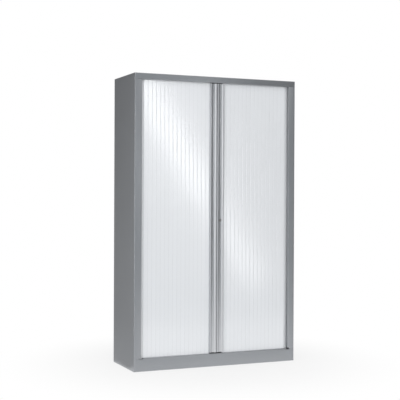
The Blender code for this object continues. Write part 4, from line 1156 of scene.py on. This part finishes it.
def screens():
    """Two in front part along the slanting strip, and the others stand at the sides and the rear left.

    Two more lie on the floor, in front and at the rear left. The one at the rear left is painted shade: the
    floor's shade beside the cabinet, as reflections see it.
    """
    slope = (STRIP_FOOT - STRIP_TOP) / (STRIP_FOOT.z - STRIP_TOP.z)
    behind = Vector((0, -SCREEN_BEHIND_STRIP, 0))
    foot, top = (STRIP_TOP + slope * (level - STRIP_TOP.z) + behind for level in (0, SCREEN_TOP))
    corner = (STUDIO_RIGHT, foot.y)
    front = [foot, (*corner, 0), (*corner, SCREEN_TOP), top]
    screen("front_right_screen", front, 0.0, 0.28, COOL_GREY, bend=3)
    front = upright((STUDIO_LEFT, STUDIO_FRONT), (FRONT_LEFT_END, STUDIO_FRONT))
    screen("front_left_screen", front, 0.35, 0.30, COOL_GREY)
    screen("right_screen", upright(corner, (STUDIO_RIGHT, STUDIO_REAR)), 0.20, 0.22)
    screen("rear_left_screen", upright(*REAR_SCREEN), 0.40, 0.155)
    outer = upright((OUTER_SCREEN_X, -OUTER_SCREEN_HALF), (OUTER_SCREEN_X, OUTER_SCREEN_HALF))
    screen("left_screen", outer, 0.36, 0.30)
    screen("front_mat", laid(*FRONT_MAT), 0.40, 0.40, COOL_GREY)
    # painted shade: a grey sheet on the floor stands for the floor's shade at the cabinet's rear left
    screen("rear_left_painted_floor_shade", laid(*REAR_FLOOR_SHADE), 0.53, 0.53)


def softbox(name, place, target, size, radiance, roll=0.0, sheen_only=False):
    """A rectangular lamp that faces its target. Where it gives sheen only, it leaves matt tones alone."""
    light = bpy.data.lights.new(name, "AREA")
    light.shape = "RECTANGLE"
    light.size, light.size_y = size
    light.energy = radiance * math.pi * size[0] * size[1]
    obj = bpy.data.objects.new(name, light)
    bpy.context.scene.collection.objects.link(obj)
    obj.location = place
    obj.rotation_euler = (Vector(target) - Vector(place)).to_track_quat("-Z", "Y").to_euler()
    obj.rotation_euler.rotate_axis("Z", roll)
    obj.visible_camera = False
    obj.visible_diffuse = not sheen_only


FOLD_LIGHT_AWAY = direction(-104, 4) * 2.6
FOLD_LIGHT_SIZE = (0.35, 3.0)
FOLD_LIGHT_RADIANCE = 9.0
KEY_PLACE = (-2.9, -3.6, 1.45)
KEY_TARGET = (0, 0, 0.9)
KEY_SIZE = (2.2, 2.4)
KEY_RADIANCE = 1.55


def lamps():
    """A slanting strip gives the curtains their sheen, and a thin one at the left draws the front fold."""
    run = STRIP_FOOT - STRIP_TOP
    slant = math.atan2(run.x, -run.z)
    for name, start, end, radiance in STRIP_PARTS:
        middle = STRIP_TOP + run * (start + end) / 2
        size = (STRIP_WIDTH, run.length * (end - start))
        softbox(name, middle, middle + Vector((0, 1, 0)), size, radiance, slant, sheen_only=True)
    fold = Vector((-HALF_WIDTH, FRONT, HEIGHT / 2))
    place = fold + FOLD_LIGHT_AWAY
    softbox("fold_light", place, fold, FOLD_LIGHT_SIZE, FOLD_LIGHT_RADIANCE, sheen_only=True)
    softbox("key", KEY_PLACE, KEY_TARGET, KEY_SIZE, KEY_RADIANCE)


def camera():
    """Turned to its yaw and pitch first, then rolled about its view."""
    data = bpy.data.cameras.new("camera")
    data.sensor_width = SENSOR
    data.lens = CAMERA_FOCAL_SHARE * SENSOR
    data.clip_end = 4 * FLOOR_HALF
    obj = bpy.data.objects.new("camera", data)
    bpy.context.scene.collection.objects.link(obj)
    obj.location = CAMERA_PLACE
    forward = Vector(
        (
            math.sin(CAMERA_YAW) * math.cos(CAMERA_PITCH),
            math.cos(CAMERA_YAW) * math.cos(CAMERA_PITCH),
            math.sin(CAMERA_PITCH),
        )
    )
    obj.rotation_mode = "QUATERNION"
    obj.rotation_quaternion = forward.to_track_quat("-Z", "Y")
    obj.rotation_mode = "XYZ"
    obj.rotation_euler.rotate_axis("Z", -CAMERA_ROLL)
    bpy.context.scene.camera = obj


dress_frame()
side_panels()
top_panel()
front_plinth()
curtains()
handles()
lock()
levellers()
studio_floor()
studio_walls()
screens()
lamps()
camera()
bpy.context.scene.view_settings.view_transform = "Standard"

bpy.context.view_layer.update()
